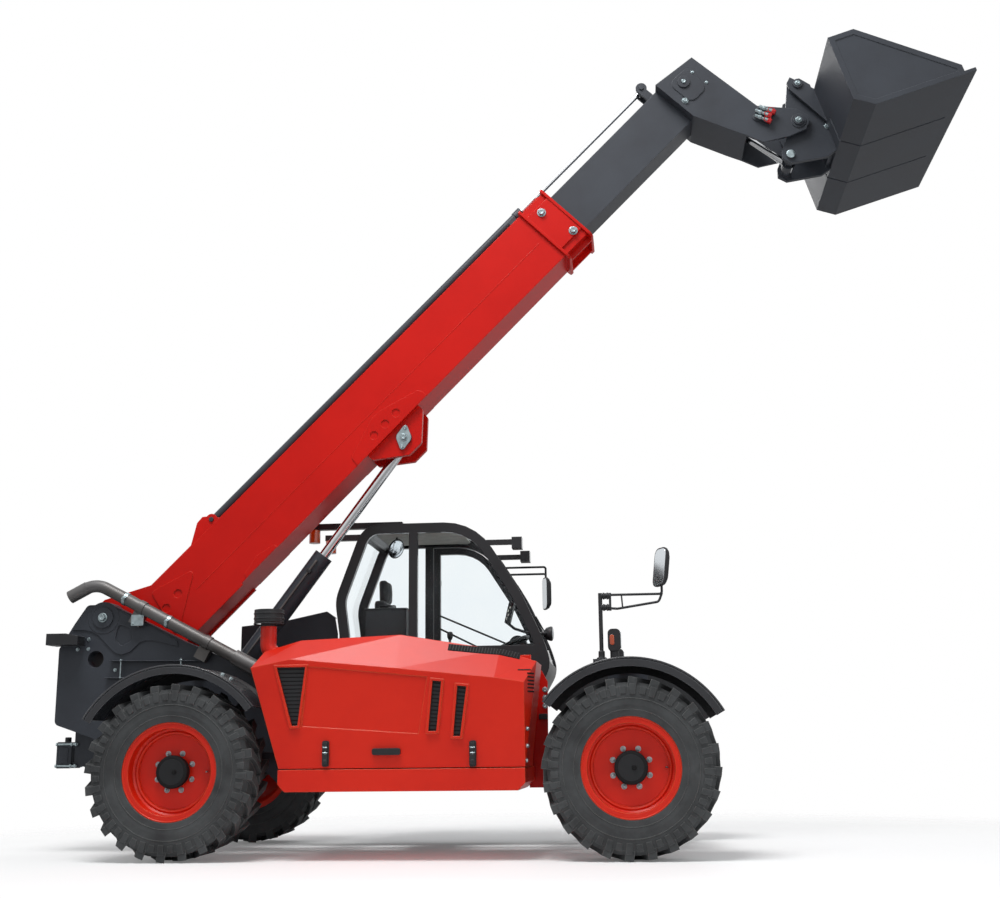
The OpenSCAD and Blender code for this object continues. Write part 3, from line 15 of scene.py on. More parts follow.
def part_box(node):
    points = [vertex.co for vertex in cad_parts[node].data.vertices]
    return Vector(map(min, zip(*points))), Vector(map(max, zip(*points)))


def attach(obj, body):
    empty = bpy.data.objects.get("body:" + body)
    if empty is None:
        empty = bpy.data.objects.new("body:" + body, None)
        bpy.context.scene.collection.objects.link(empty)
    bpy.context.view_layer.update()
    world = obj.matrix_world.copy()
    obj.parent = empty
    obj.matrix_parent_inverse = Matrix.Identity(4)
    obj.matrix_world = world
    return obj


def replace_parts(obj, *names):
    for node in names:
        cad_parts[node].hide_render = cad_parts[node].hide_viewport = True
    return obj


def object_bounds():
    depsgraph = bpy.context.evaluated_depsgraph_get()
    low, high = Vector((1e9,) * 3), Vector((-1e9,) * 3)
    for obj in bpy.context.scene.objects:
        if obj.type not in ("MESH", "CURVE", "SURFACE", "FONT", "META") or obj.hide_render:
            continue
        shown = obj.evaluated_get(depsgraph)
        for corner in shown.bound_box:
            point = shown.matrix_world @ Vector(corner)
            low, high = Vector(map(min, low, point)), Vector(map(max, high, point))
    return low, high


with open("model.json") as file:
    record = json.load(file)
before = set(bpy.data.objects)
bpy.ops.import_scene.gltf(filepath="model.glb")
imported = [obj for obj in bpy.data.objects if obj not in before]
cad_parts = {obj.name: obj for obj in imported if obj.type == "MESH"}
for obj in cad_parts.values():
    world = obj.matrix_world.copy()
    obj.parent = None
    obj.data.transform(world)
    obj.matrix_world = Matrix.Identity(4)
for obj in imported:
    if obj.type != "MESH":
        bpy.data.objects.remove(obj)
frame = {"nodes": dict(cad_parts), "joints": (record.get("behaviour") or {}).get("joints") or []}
cad_low, cad_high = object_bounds()
NODES = frame["nodes"]
JOINTS = {joint["name"]: joint for joint in frame["joints"]}
X, Y, Z = Vector((1, 0, 0)), Vector((0, 1, 0)), Vector((0, 0, 1))
SIDES = (-1, 1)
WHEELS = {"fr": "front_right", "fl": "front_left", "rr": "rear_right", "rl": "rear_left"}


# Places and frames

def local_frame(origin, forward):
    """Matrix whose X runs along forward in the upright plane, with Y to the machine's left."""
    forward = Vector(forward).normalized()
    up = forward.cross(Y)
    turn = Matrix((forward, Y, up)).transposed().to_4x4()
    return Matrix.Translation(Vector(origin)) @ turn


def middle_of(node):
    """Middle of a CAD node's box."""
    low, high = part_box(node)
    return (Vector(low) + Vector(high)) / 2


REAR_X = middle_of("tyre_rr").x
BOOM = local_frame(JOINTS["boom_lift"]["pos_m"], JOINTS["boom_extend"]["axis"])
LIFT = local_frame(JOINTS["lift_swing"]["pos_m"], JOINTS["lift_stroke"]["axis"])


def at(x, y, z):
    """Place in millimetres forward of the rear axle, to the left and above the ground."""
    return Vector((REAR_X + x / 1000, y / 1000, z / 1000))


def boom_at(a, y, n):
    """Place in millimetres along the boom from its pivot, to the left and square to it."""
    return BOOM @ Vector((a / 1000, y / 1000, n / 1000))


def facing(place, normal, upward=Z):
    """Matrix at a place with its Z along the normal and its Y as near upward as it goes."""
    normal = normal.normalized()
    if abs(normal.dot(upward)) > 0.99:
        upward = X
    across = upward.cross(normal).normalized()
    return Matrix.Translation(place) @ Matrix((across, normal.cross(across), normal)).transposed().to_4x4()


TREES = {}
RAY_START = 2


def landed(node, place, way):
    """Where a line through a place first meets a CAD node, and the normal there; None twice if it misses."""
    if node not in TREES:
        mesh = NODES[node].data
        TREES[node] = BVHTree.FromPolygons([v.co for v in mesh.vertices], [p.vertices for p in mesh.polygons])
    way = Vector(way).normalized()
    spot, normal, _, _ = TREES[node].ray_cast(Vector(place) - way * RAY_START, way)
    if spot is None:
        return None, None
    return spot, normal if normal.dot(way) < 0 else -normal


def seated(node, place, way, upward=Z):
    """Matrix that faces out of a CAD node where a line through a place first meets it."""
    spot, normal = landed(node, place, way)
    return facing(spot, normal, upward)


BESIDE = 0.045


def flank(node, place, side):
    """Matrix that faces out of a node's flank at a place in its upright plane; a bore there counts as filled."""
    for steps in (((0, 0),), ((BESIDE, 0), (-BESIDE, 0), (0, BESIDE), (0, -BESIDE))):
        spots = [landed(node, place + X * dx + Z * dz + Y * side, -Y * side)[0] for dx, dz in steps]
        reach = [spot.y * side for spot in spots if spot is not None]
        if reach:
            return facing(Vector((place.x, max(reach) * side, place.z)), Y * side)
    raise ValueError(f"{node} has no face at {tuple(place)}")


def upright(y=0.0, side=1):
    """Matrix that stands an outline of x and z up at y, and draws it out to a side."""
    return Matrix(((1, 0, 0, 0), (0, 0, side, y), (0, 1, 0, 0), (0, 0, 0, 1)))


def drawn(outline):
    """Outline of x and z from millimetres forward of the rear axle and above the ground."""
    return [(REAR_X + x / 1000, z / 1000) for x, z in outline]


def spoke(angle):
    """Way in the upright plane at an angle above forward."""
    return X * math.cos(angle) + Z * math.sin(angle)


def on_circle(radius, degrees, middle=(0, 0)):
    """Points about a middle at angles in degrees."""
    return [(middle[0] + radius * math.cos(math.radians(a)), middle[1] + radius * math.sin(math.radians(a)))
            for a in degrees]


def strip(half, low, high, top=None):
    """Section of a flat bar from low to high, with another half width at its top where given."""
    top = top or half
    return [(-half, low), (half, low), (top, high), (-top, high)]


# Meshes

SHARP = math.radians(38)
SHARP_BEVEL = math.radians(40)


class Shape:
    """Mesh in the row frame that grows from simple forms; each face keeps the number of its material."""

    def __init__(self):
        self.points, self.faces, self.looks = [], [], []
        self.look = 0

    def add(self, points, faces, matrix=Matrix.Identity(4)):
        """Points and faces, moved by the matrix."""
        start = len(self.points)
        self.points += [matrix @ Vector(p) for p in points]
        self.faces += [[start + i for i in face] for face in faces]
        self.looks += [self.look] * len(faces)
        return self

    def turned(self, profile, matrix, sides=24, closed=False):
        """Form turned about the matrix's Z from radius and height pairs; a closed profile makes a ring."""
        count = len(profile)
        angles = [math.tau * k / sides for k in range(sides)]
        points = [(r * math.cos(a), r * math.sin(a), h) for r, h in profile for a in angles]
        faces = []
        for i in range(count if closed else count - 1):
            j = (i + 1) % count
            for k in range(sides):
                n = (k + 1) % sides
                faces.append([i * sides + k, i * sides + n, j * sides + n, j * sides + k])
        if not closed:
            faces.append(list(reversed(range(sides))))
            faces.append([(count - 1) * sides + k for k in range(sides)])
        return self.add(points, faces, matrix)

    def plate(self, outline, low, high, matrix):
        """Flat outline in the matrix's X and Y, drawn out along its Z."""
        n = len(outline)
        points = [(x, y, low) for x, y in outline] + [(x, y, high) for x, y in outline]
        faces = [list(reversed(range(n))), list(range(n, 2 * n))]
        faces += [[i, (i + 1) % n, n + (i + 1) % n, n + i] for i in range(n)]
        return self.add(points, faces, matrix)

    def block(self, low, high, matrix=Matrix.Identity(4)):
        """Block from corner to corner."""
        (x0, y0, z0), (x1, y1, z1) = low, high
        return self.plate([(x0, y0), (x1, y0), (x1, y1), (x0, y1)], z0, z1, matrix)

    def swept(self, path, section, flat=None):
        """Closed section, in side and up pairs, along a path; flat gives the up way at each point."""
        path = [Vector(p) for p in path]
        count, side, points = len(section), None, []
        for i, place in enumerate(path):
            ahead = (path[min(i + 1, len(path) - 1)] - path[max(i - 1, 0)]).normalized()
            if flat:
                side = ahead.cross(flat[i]).normalized()
            elif side is None:
                side = ahead.orthogonal().normalized()
            side = (side - ahead * side.dot(ahead)).normalized()
            up = side.cross(ahead)
            points += [place + side * s + up * u for s, u in section]
        faces = [list(reversed(range(count)))]
        faces += [[i * count + k, i * count + (k + 1) % count, (i + 1) * count + (k + 1) % count, (i + 1) * count + k]
                  for i in range(len(path) - 1) for k in range(count)]
        faces.append([(len(path) - 1) * count + k for k in range(count)])
        return self.add(points, faces)

    def tube(self, path, radius, sides=12):
        """Round bar or pipe along a path."""
        return self.swept(path, on_circle(radius, [360 * k / sides for k in range(sides)]))

    def save(self, name, body, *materials, slot=None, soft=0.0):
        """Piece that rides on a body, with the finishes in the order given. The slot argument is not used."""
        mesh = bpy.data.meshes.new(name)
        mesh.from_pydata([tuple(p) for p in self.points], [], self.faces)
        for material in materials:
            mesh.materials.append(material)
        mesh.polygons.foreach_set("material_index", self.looks)
        work = bmesh.new()
        work.from_mesh(mesh)
        bmesh.ops.recalc_face_normals(work, faces=work.faces)
        work.to_mesh(mesh)
        work.free()
        return placed(name, mesh, body, soft)


def placed(name, mesh, body, soft):
    """Smooth object of a mesh, riding on a body."""
    mesh.shade_smooth()
    mesh.set_sharp_from_angle(angle=SHARP)
    piece = bpy.data.objects.new(name, mesh)
    bpy.context.scene.collection.objects.link(piece)
    if soft:
        bevel = piece.modifiers.new("soft", "BEVEL")
        bevel.width = soft
        bevel.segments = 2
        bevel.limit_method = "ANGLE"
        bevel.angle_limit = SHARP_BEVEL
    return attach(piece, body)


def oblong(width, height, corner, steps=5):
    """Outline of a rectangle with round corners, about its middle."""
    points = []
    for k, (sx, sy) in enumerate(((1, 1), (-1, 1), (-1, -1), (1, -1))):
        for s in range(steps + 1):
            a = math.pi / 2 * (k + s / steps)
            points.append((sx * (width / 2 - corner) + corner * math.cos(a),
                           sy * (height / 2 - corner) + corner * math.sin(a)))
    return points


def bent(corners, radius, steps=6):
    """Path through corners, each inner one rounded."""
    corners = [Vector(c) for c in corners]
    path = [corners[0]]
    for before, corner, after in zip(corners, corners[1:], corners[2:]):
        a, b = (before - corner).normalized(), (after - corner).normalized()
        reach = radius / math.tan(a.angle(b) / 2)
        start, end = corner + a * reach, corner + b * reach
        path += [start * (1 - k / steps) ** 2 + corner * 2 * (k / steps) * (1 - k / steps) + end * (k / steps) ** 2
                 for k in range(steps + 1)]
    return path + [corners[-1]]


def ring_profile(inner, outer, low, high):
    """Closed profile of a flat ring with its outer edges taken off."""
    cut = min(outer - inner, high - low) * 0.3
    return [(inner, low), (outer, low), (outer, high - cut), (outer - cut, high), (inner, high)]


def bolt(shape, matrix, size):
    """Washer and chamfered six-sided head with a shallow dish; size is its width over the corners."""
    r = size / 2
    shape.turned([(r * 1.3, -r * 0.1), (r * 1.3, r * 0.16), (r * 1.22, r * 0.24)], matrix, 20)
    shape.turned([(r, r * 0.2), (r, r * 0.8), (r * 0.88, r * 1.0), (r * 0.5, r * 1.0), (r * 0.42, r * 0.9)], matrix, 6)


def bolted(name, body, seats, size, soft=0.0):
    """Bolts on seats, which are matrices that face out of what they hold."""
    shape = Shape()
    for seat in seats:
        bolt(shape, seat, size)
    return shape.save(name, body, zinc, soft=soft)


def bolts(name, body, node, places, size):
    """Bolts on both flanks of a CAD node, at places in its upright plane."""
    return bolted(name, body, [flank(node, place, side) for side in SIDES for place in places], size, size * 0.02)


# Finishes

def node_of(tree, kind, inputs=None, **settings):
    """Shader node with its settings and inputs: plain values, sockets, or nodes for their first output."""
    made = tree.nodes.new("ShaderNode" + kind)
    for key, value in settings.items():
        setattr(made, key, value)
    for key, value in (inputs or {}).items():
        if isinstance(value, bpy.types.Node):
            value = value.outputs[0]
        if isinstance(value, bpy.types.NodeSocket):
            tree.links.new(value, made.inputs[key])
        else:
            made.inputs[key].default_value = value
    return made


def rgb(red, green, blue):
    """Linear colour of an 8-bit screen colour."""
    def channel(value):
        value /= 255
        return value / 12.92 if value <= 0.04045 else ((value + 0.055) / 1.055) ** 2.4
    return (channel(red), channel(green), channel(blue), 1.0)


def finish(name, colour, shade, rough, blotch=3.0, grain=900.0, depth=0.0004, edge=0.0, edge_wear_and_highlight=None, edge_wear_and_highlight_strength=0.5,
           sockets=None):
    """Finish that drifts between two screen colours, with a drifting gloss, a grain, and soft edges painted lighter:
    partly wear, partly a painted highlight.
    """
    material = bpy.data.materials.new(name)
    material.use_nodes = True
    tree = material.node_tree
    shader = tree.nodes["Principled BSDF"]
    place = node_of(tree, "TexCoord").outputs["Object"]
    drift = node_of(tree, "TexNoise", {"Vector": place, "Scale": blotch, "Detail": 5.0, "Roughness": 0.6})
    ramp = node_of(tree, "ValToRGB", {"Fac": drift})
    ramp.color_ramp.elements[0].position = 0.3
    ramp.color_ramp.elements[0].color = rgb(*shade)
    ramp.color_ramp.elements[1].position = 0.62
    ramp.color_ramp.elements[1].color = rgb(*colour)
    tone = ramp.outputs["Color"]
    gloss = node_of(tree, "MapRange", {"Value": drift, "To Min": rough[0], "To Max": rough[1]})
    tree.links.new(gloss.outputs["Result"], shader.inputs["Roughness"])
    fine = node_of(tree, "TexNoise", {"Vector": place, "Scale": grain, "Detail": 3.0})
    bump = node_of(tree, "Bump", {"Height": fine, "Distance": depth, "Strength": 0.6})
    if edge:
        soft = node_of(tree, "Bevel", {"Radius": edge}, samples=4)
        tree.links.new(soft.outputs["Normal"], bump.inputs["Normal"])
        # Soft edges found by the bevel normal take a lighter colour: partly wear, partly a painted highlight where
        # light would catch the edges.
        if edge_wear_and_highlight:
            flat = node_of(tree, "NewGeometry").outputs["Normal"]
            turn = node_of(tree, "VectorMath", {0: soft, 1: flat}, operation="DOT_PRODUCT")
            mask = node_of(tree, "MapRange", {
                "Value": turn.outputs["Value"], "From Min": 0.99, "From Max": 0.8, "To Max": edge_wear_and_highlight_strength})
            patch = node_of(tree, "Math", {0: mask, 1: fine}, operation="MULTIPLY")
            worn_and_highlit_edge = node_of(tree, "Mix", {0: patch, 6: tone, 7: rgb(*edge_wear_and_highlight)}, data_type="RGBA")
            tone = worn_and_highlit_edge.outputs[2]
    tree.links.new(tone, shader.inputs["Base Color"])
    tree.links.new(bump.outputs["Normal"], shader.inputs["Normal"])
    for key, value in (sockets or {}).items():
        shader.inputs[key].default_value = value
    return material


LOW_GLOSS = {"Specular IOR Level": 0.22}
LENS_GLOSS = {"Coat Weight": 0.8, "Transmission Weight": 0.25}
# The ninth value of a finish, where given, is the lighter colour painted on its soft edges and the tenth is how
# strongly: partly wear, partly a painted highlight.
red_paint = finish("red_paint", (206, 20, 9), (194, 16, 7), (0.3, 0.4), 1.6, 420.0, 0.0002, 0.006,
                   (255, 92, 60), 0.6, LOW_GLOSS)
orange_paint = finish("orange_paint", (218, 38, 16), (206, 31, 12), (0.28, 0.38), 1.6, 420.0, 0.0002, 0.008,
                      (255, 128, 74), 0.9, {"Specular IOR Level": 0.32})
charcoal_paint = finish("charcoal_paint", (58, 62, 69), (50, 53, 59), (0.4, 0.52), 2.0, 700.0, 0.0003, 0.006,
                        (120, 124, 130), 0.6, {"Specular IOR Level": 0.3})
cast_black = finish("cast_black", (38, 39, 41), (30, 31, 33), (0.5, 0.65), 4.0, 260.0, 0.0012, 0.006,
                    (84, 84, 86), 0.5, LOW_GLOSS)
chrome_rod = finish("chrome_rod", (214, 216, 218), (200, 202, 205), (0.08, 0.16), 6.0, 1500.0, 0.00005, 0.0,
                    sockets={"Metallic": 1.0})
zinc = finish("zinc", (166, 180, 184), (138, 151, 154), (0.24, 0.36), 30.0, 900.0, 0.0001, 0.0015,
              sockets={"Metallic": 0.9})
rubber = finish("rubber", (76, 78, 79), (56, 57, 58), (0.72, 0.9), 5.0, 330.0, 0.0012, 0.008,
                (140, 140, 137), 0.9, {"Specular IOR Level": 0.2})
black_plastic = finish("black_plastic", (38, 39, 42), (31, 32, 34), (0.42, 0.56), 5.0, 1100.0, 0.0004, 0.005,
                       (96, 98, 104), 0.5, {"Specular IOR Level": 0.35})
cab_black = finish("cab_black", (40, 40, 43), (32, 32, 35), (0.3, 0.42), 3.0, 700.0, 0.0003, 0.006,
                   (104, 106, 110), 0.6, {"Specular IOR Level": 0.35})
gloss_black = finish("gloss_black", (46, 47, 51), (38, 39, 42), (0.16, 0.28), 4.0, 600.0, 0.0003, 0.008,
                     (150, 154, 160), 0.7, {"Specular IOR Level": 0.5})
grille_black = finish("grille_black", (20, 20, 22), (14, 14, 15), (0.6, 0.75), 8.0, 900.0, 0.0004, 0.001,
                      sockets=LOW_GLOSS)
pad_plastic = finish("pad_plastic", (206, 202, 190), (190, 186, 173), (0.5, 0.62), 8.0, 800.0, 0.0003, 0.003)
seat_cover = finish("seat_cover", (36, 37, 40), (28, 29, 31), (0.75, 0.9), 9.0, 700.0, 0.0015,
                    sockets={"Sheen Weight": 0.3})
headliner = finish("headliner", (168, 168, 160), (150, 150, 143), (0.8, 0.92), 12.0, 900.0, 0.001)
pipe_steel = finish("pipe_steel", (104, 103, 103), (84, 81, 79), (0.38, 0.55), 3.0, 500.0, 0.0004, 0.0,
                    sockets={"Metallic": 0.6})
lamp_orange = finish("lamp_orange", (214, 84, 20), (196, 70, 14), (0.15, 0.22), 9.0, 200.0, 0.0006, 0.003,
                     sockets=LENS_GLOSS)
lens_red = finish("lens_red", (170, 16, 12), (150, 12, 9), (0.15, 0.22), 9.0, 200.0, 0.0006, 0.003,
                  sockets=LENS_GLOSS)
lens_clear = finish("lens_clear", (214, 219, 222), (196, 202, 206), (0.06, 0.14), 60.0, 160.0, 0.001, 0.003,
                    sockets={"Coat Weight": 0.8})
mirror_glass = finish("mirror_glass", (226, 232, 236), (218, 224, 229), (0.1, 0.16), 2.0, 60.0, 0.00002,
                      sockets={"Metallic": 1.0})
screen = finish("screen", (26, 31, 36), (20, 24, 29), (0.08, 0.16), 9.0, 200.0, 0.0001)
cap_red = finish("cap_red", (186, 24, 28), (166, 18, 22), (0.3, 0.42), 30.0, 900.0, 0.0002, 0.001)
window = finish("window", (248, 251, 252), (245, 249, 251), (0.0, 0.01), 2.0, 4.0, 0.0, 0.0,
                sockets={"Transmission Weight": 1.0, "IOR": 1.06})

LOOKS = {
    red_paint: ["outer_boom", "boom_collar"],
    orange_paint: ["engine_bay", "engine_cover", "rim_fl", "rim_fr", "rim_rl", "rim_rr"],
    charcoal_paint: ["frame", "rear_block", "crossmembers", "tow_hitch", "inner_boom", "boom_head", "carriage",
                     "bucket", "lift_barrel", "extension_barrel", "tilt_barrel", "side_tank", "engine"],
    cab_black: ["cab_frame", "door_frame"],
    gloss_black: ["fenders"],
    cast_black: ["front_axle", "rear_axle", "driveline", "knuckle_fl", "knuckle_fr", "knuckle_rl", "knuckle_rr"],
    chrome_rod: ["lift_rod", "tilt_rod", "extension_rod"],
    rubber: ["tyre_fl", "tyre_fr", "tyre_rl", "tyre_rr"],
    black_plastic: ["mirrors", "cover_trim", "air_intake", "steering_column", "lamps"],
    pad_plastic: ["front_pads", "rear_pads"],
    seat_cover: ["seat"],
    pipe_steel: ["exhaust"],
    window: ["cab_glass", "door_glass"],
}


END_DEPTH = 0.004


def darken_eye(mesh, along):
    """Paints the eye of a cylinder's rod, which is wider than the bright bar that slides."""
    def off_axis(point, middle):
        return (point - middle - along * (point - middle).dot(along)).length

    runs = [v.co.dot(along) for v in mesh.vertices]
    ends = []
    for edge in (min(runs), max(runs)):
        points = [v.co for v, run in zip(mesh.vertices, runs) if abs(run - edge) < END_DEPTH]
        middle = sum(points, Vector()) / len(points)
        ends.append((max(off_axis(p, middle) for p in points), middle))
    radius, middle = max(ends, key=lambda end: end[0])
    mesh.materials.append(charcoal_paint)
    for face in mesh.polygons:
        if any(off_axis(mesh.vertices[i].co, middle) > radius * 1.1 for i in face.vertices):
            face.material_index = 1


def dress_nodes():
    """Gives every CAD node its finish, and the lamps their lenses."""
    for material, names in LOOKS.items():
        for name in names:
            mesh = NODES[name].data
            mesh.materials.clear()
            mesh.materials.append(material)
    for name, joint in (("lift_rod", "lift_stroke"), ("tilt_rod", "tilt_stroke"), ("extension_rod", "boom_extend")):
        darken_eye(NODES[name].data, Vector(JOINTS[joint]["axis"]).normalized())
    lamps = NODES["lamps"].data
    for lens in (lamp_orange, lens_clear, lens_red):
        lamps.materials.append(lens)
    beacon_x, work_x, roof_z = at(700, 0, 0).x, at(2250, 0, 0).x, at(0, 0, 2200).z
    for face in lamps.polygons:
        if face.center.z > roof_z and face.center.x < beacon_x:
            face.material_index = 1
        elif face.center.z > roof_z and face.center.x > work_x and face.normal.x > 0.7:
            face.material_index = 2
        elif face.center.x < REAR_X and face.normal.x < -0.5:
            face.material_index = 3


dress_nodes()


# Wheels

NUTS = 8
NUT_CIRCLE = 0.13
VALVE_REACH = 0.228
SIDEWALL_RIBS = ((0.447, 0.2012), (0.374, 0.1925))
RIM_BEADS = ((0.262, 0.014, 0.016), (0.326, 0.008, 0.006))


def dress_wheels():
    """Nuts, valve, sidewall ribs, rim beads and shoulder blocks on each wheel, and the cap on its hub."""
    for tag, name in WHEELS.items():
        centre = middle_of("tyre_" + tag)
        out = Y if centre.y > 0 else -Y
        face = facing(centre, out)
        nuts, cap, ribs = Shape(), Shape(), Shape()
        for k in range(NUTS):
            way = spoke(math.tau * (k + 0.5) / NUTS)
            spot = landed("rim_" + tag, centre + way * NUT_CIRCLE, -out)[0]
            bolt(nuts, facing(spot, out, way), 0.03)
            nuts.turned([(0.008, 0.0), (0.008, 0.028), (0.006, 0.031)], facing(spot, out), 10)
        stem = landed("rim_" + tag, centre + X * VALVE_REACH, -out)[0]
        nuts.tube([stem - out * 0.002, stem + out * 0.03, stem + out * 0.045 + X * 0.01], 0.006)
        nuts.save("wheel_nuts_" + tag, "wheel_" + name, zinc, soft=0.001)
        hub = (landed("knuckle_" + tag, centre + X * 0.095, -out)[0] - centre).dot(out)
        cap.turned([(0.084, hub - 0.002), (0.110, hub - 0.03), (0.111, hub - 0.002), (0.107, hub + 0.006),
                    (0.096, hub + 0.0095), (0.084, hub + 0.0095)], face, 48, closed=True)
        crown = landed("knuckle_" + tag, centre + X * 0.02, -out)[0]
        bolt(cap, facing(crown, out), 0.026)
        cap.save("hub_cap_" + tag, "knuckle_" + name, grille_black, slot="cast_black", soft=0.001)
        for side in (face, facing(centre, -out)):
            for r, y in SIDEWALL_RIBS:
                ribs.turned([(r - 0.005, y - 0.001), (r - 0.002, y + 0.0035), (r + 0.002, y + 0.0035),
                             (r + 0.005, y - 0.001), (r, y - 0.004)], side, 72, closed=True)
        ribs.save("sidewall_ribs_" + tag, "wheel_" + name, rubber)
        lips = Shape()
        for r, wide, tall in RIM_BEADS:
            y = (landed("rim_" + tag, centre + Z * r, -out)[0] - centre).dot(out)
            lips.turned([(r - wide, y - 0.003), (r - 0.6 * wide, y + 0.7 * tall), (r, y + tall),
                         (r + 0.6 * wide, y + 0.7 * tall), (r + wide, y - 0.003)], face, 72, closed=True)
        lips.save("rim_lips_" + tag, "wheel_" + name, orange_paint)
        shoulder_blocks(tag, name, centre, out)


LUGS = 24
STEPS = 10 * LUGS
LUG_FOOT = 0.57
LUG_OUT = 0.15


def shoulder_blocks(tag, name, centre, out):
    """Blocks on the tyre's shoulder: a long one at the foot of each lug and a short one between."""
    def cast(angle, r):
        way = spoke(angle)
        return way, landed("tyre_" + tag, centre + way * r, -out)

    wave = 0j
    for k in range(STEPS):
        angle = math.tau * k / STEPS
        spot = cast(angle, LUG_FOOT)[1][0]
        if spot is not None and (spot - centre).dot(out) > LUG_OUT:
            wave += cmath.exp(1j * LUGS * angle)
    first = cmath.phase(wave) / LUGS
    blocks = Shape()
    for k in range(2 * LUGS):
        way, (spot, normal) = cast(first + math.pi * k / LUGS, 0.5 if k % 2 else 0.505)
        half = 0.026 if k % 2 else 0.036
        blocks.plate([(-0.019, -half), (0.019, -half), (0.023, half), (-0.023, half)], -0.01, 0.007,
                     facing(spot, normal, way))
    blocks.save("shoulder_blocks_" + tag, "wheel_" + name, rubber, soft=0.003)


# Boom, head and tool

PIN_PLATE = 0.075
PIN_PLATE_TOP = 0.024
LIFT_PIN = (2563, -634)
FOLD = -311


def dress_boom():
    """Fold lines, collar bolts and the plates that hold the lift cylinder's pin."""
    folds, plates, heads = Shape(), Shape(), Shape()
    for side in SIDES:
        y = [landed("outer_boom", boom_at(a, side * 400, FOLD), -Y * side)[0].y for a in (900, 4200)]
        folds.swept([boom_at(620, y[0] * 1000, FOLD), boom_at(4410, y[1] * 1000, FOLD)],
                    strip(0.005, -0.004, 0.0012, 0.0035), [Y * side] * 2)
        a, n = LIFT_PIN
        middle = boom_at(a, 0, n)
        middle.y = landed("outer_boom", boom_at(a + 85, 0, n + 40), -Y * side)[0].y
        along = (BOOM.to_3x3() @ Vector((0.8, 0, 0.6))).normalized()
        base = facing(middle, Y * side, along)
        outline = []
        for end, tip, waist in ((1, range(20, 161, 20), range(160, 201, 10)),
                                (-1, range(200, 341, 20), range(-20, 21, 10))):
            outline += on_circle(0.022, tip, (0, end * PIN_PLATE)) + on_circle(0.058, waist)
        plates.plate(outline, -0.002, PIN_PLATE_TOP, base)
        for y, size in ((-PIN_PLATE, 0.024), (PIN_PLATE, 0.024), (0, 0.05)):
            bolt(heads, base @ Matrix.Translation((0, y, PIN_PLATE_TOP)), size)
    folds.save("boom_folds", "boom", red_paint)
    plates.save("pin_plates", "boom", zinc, soft=0.002)
    heads.save("pin_plate_bolts", "boom", zinc)
    bolts("collar_bolts", "boom", "boom_collar", [boom_at(4609, 0, -151), boom_at(4668, 0, -443)], 0.056)


LOOP_STEPS = 14


def dress_head():
    """Pin bolts of the head and the carriage, the bolts of the lid and the quick couplers."""
    bolts("head_bolts", "inner", "boom_head",
          [boom_at(6162, 0, -240), at(3693, 0, 5744), at(4568, 0, 5515)], 0.04)
    bolts("lid_bolts", "inner", "boom_head", [at(3760, 0, 5985), at(3868, 0, 5893)], 0.02)
    bolts("carriage_bolts", "tool", "carriage", [at(4579, 0, 5835), at(4793, 0, 5480)], 0.034)
    caps = Shape()
    for side in SIDES:
        caps.turned([(0.034, -0.002), (0.034, 0.002), (0.03, 0.0035), (0.014, 0.0035)],
                    flank("carriage", at(4497, 0, 5253), side), 32)
    caps.save("link_pin_caps", "tool", zinc)
    board, metal, red = Shape(), Shape(), Shape()
    slope = Vector((0.9, 0, -0.436))
    base = seated("boom_head", at(4302, 0, 5575), Y, slope)
    board.plate(oblong(0.13, 0.15, 0.02), -0.002, 0.008, base)
    for x, y in ((0.042, -0.03), (0.0, -0.045), (-0.042, -0.03)):
        axis = facing(base @ Vector((x, y, 0.034)), slope)
        metal.turned([(0.016, -0.03), (0.016, 0.0), (0.020, 0.003), (0.020, 0.022), (0.014, 0.026), (0.014, 0.05),
                      (0.019, 0.052), (0.019, 0.078)], axis, 16)
        metal.block((x - 0.014, y - 0.01, 0.0), (x + 0.014, y + 0.012, 0.024), base)
        red.turned([(0.0205, 0.076), (0.0215, 0.082), (0.0215, 0.102), (0.018, 0.108)], axis, 16)
        turns = [math.tau * k / LOOP_STEPS for k in range(LOOP_STEPS)]
        red.tube([base @ Vector((x + 0.022 * math.sin(a), y + 0.075 + 0.03 * math.cos(a), 0.05)) for a in turns],
                 0.003, 8)
    board.save("coupler_board", "inner", charcoal_paint, soft=0.002)
    metal.save("couplers", "inner", zinc)
    red.save("coupler_caps", "inner", cap_red)


def dress_lift():
    """Feed pipe along the lift cylinder's barrel, with its clamps."""
    pipe, clamps = Shape(), Shape()
    inverse = LIFT.inverted()
    reach = [(inverse @ vertex.co).x for vertex in NODES["lift_barrel"].data.vertices]
    foot, gland = sorted((min(reach), max(reach)), key=lambda x: (LIFT @ Vector((x, 0, 0))).z)

    def run(share):
        return LIFT @ Vector((foot + (gland - foot) * share, 0, 0))

    for side in SIDES:
        spots = [landed("lift_barrel", run(share) + Y * side * 0.4, -Y * side)[0] for share in (0.3, 0.6, 0.9)]
        path = [run(share) for share in (0.25, 0.96)]
        for p in path:
            p.y = spots[0].y + side * 0.016
        port = path[1].copy()
        port.y = spots[0].y
        pipe.tube(bent([path[0], path[1], port], 0.012), 0.009)
        for spot in spots:
            clamps.block((-0.02, -0.012, -0.001), (0.02, 0.012, 0.028), facing(spot, Y * side, LIFT.to_3x3() @ X))
    pipe.save("lift_pipes", "lift_tube", pipe_steel)
    clamps.save("lift_pipe_clamps", "lift_tube", black_plastic, soft=0.002)


# Rear tower and chassis

SHELF_Y = 352
STUD_Y = 366


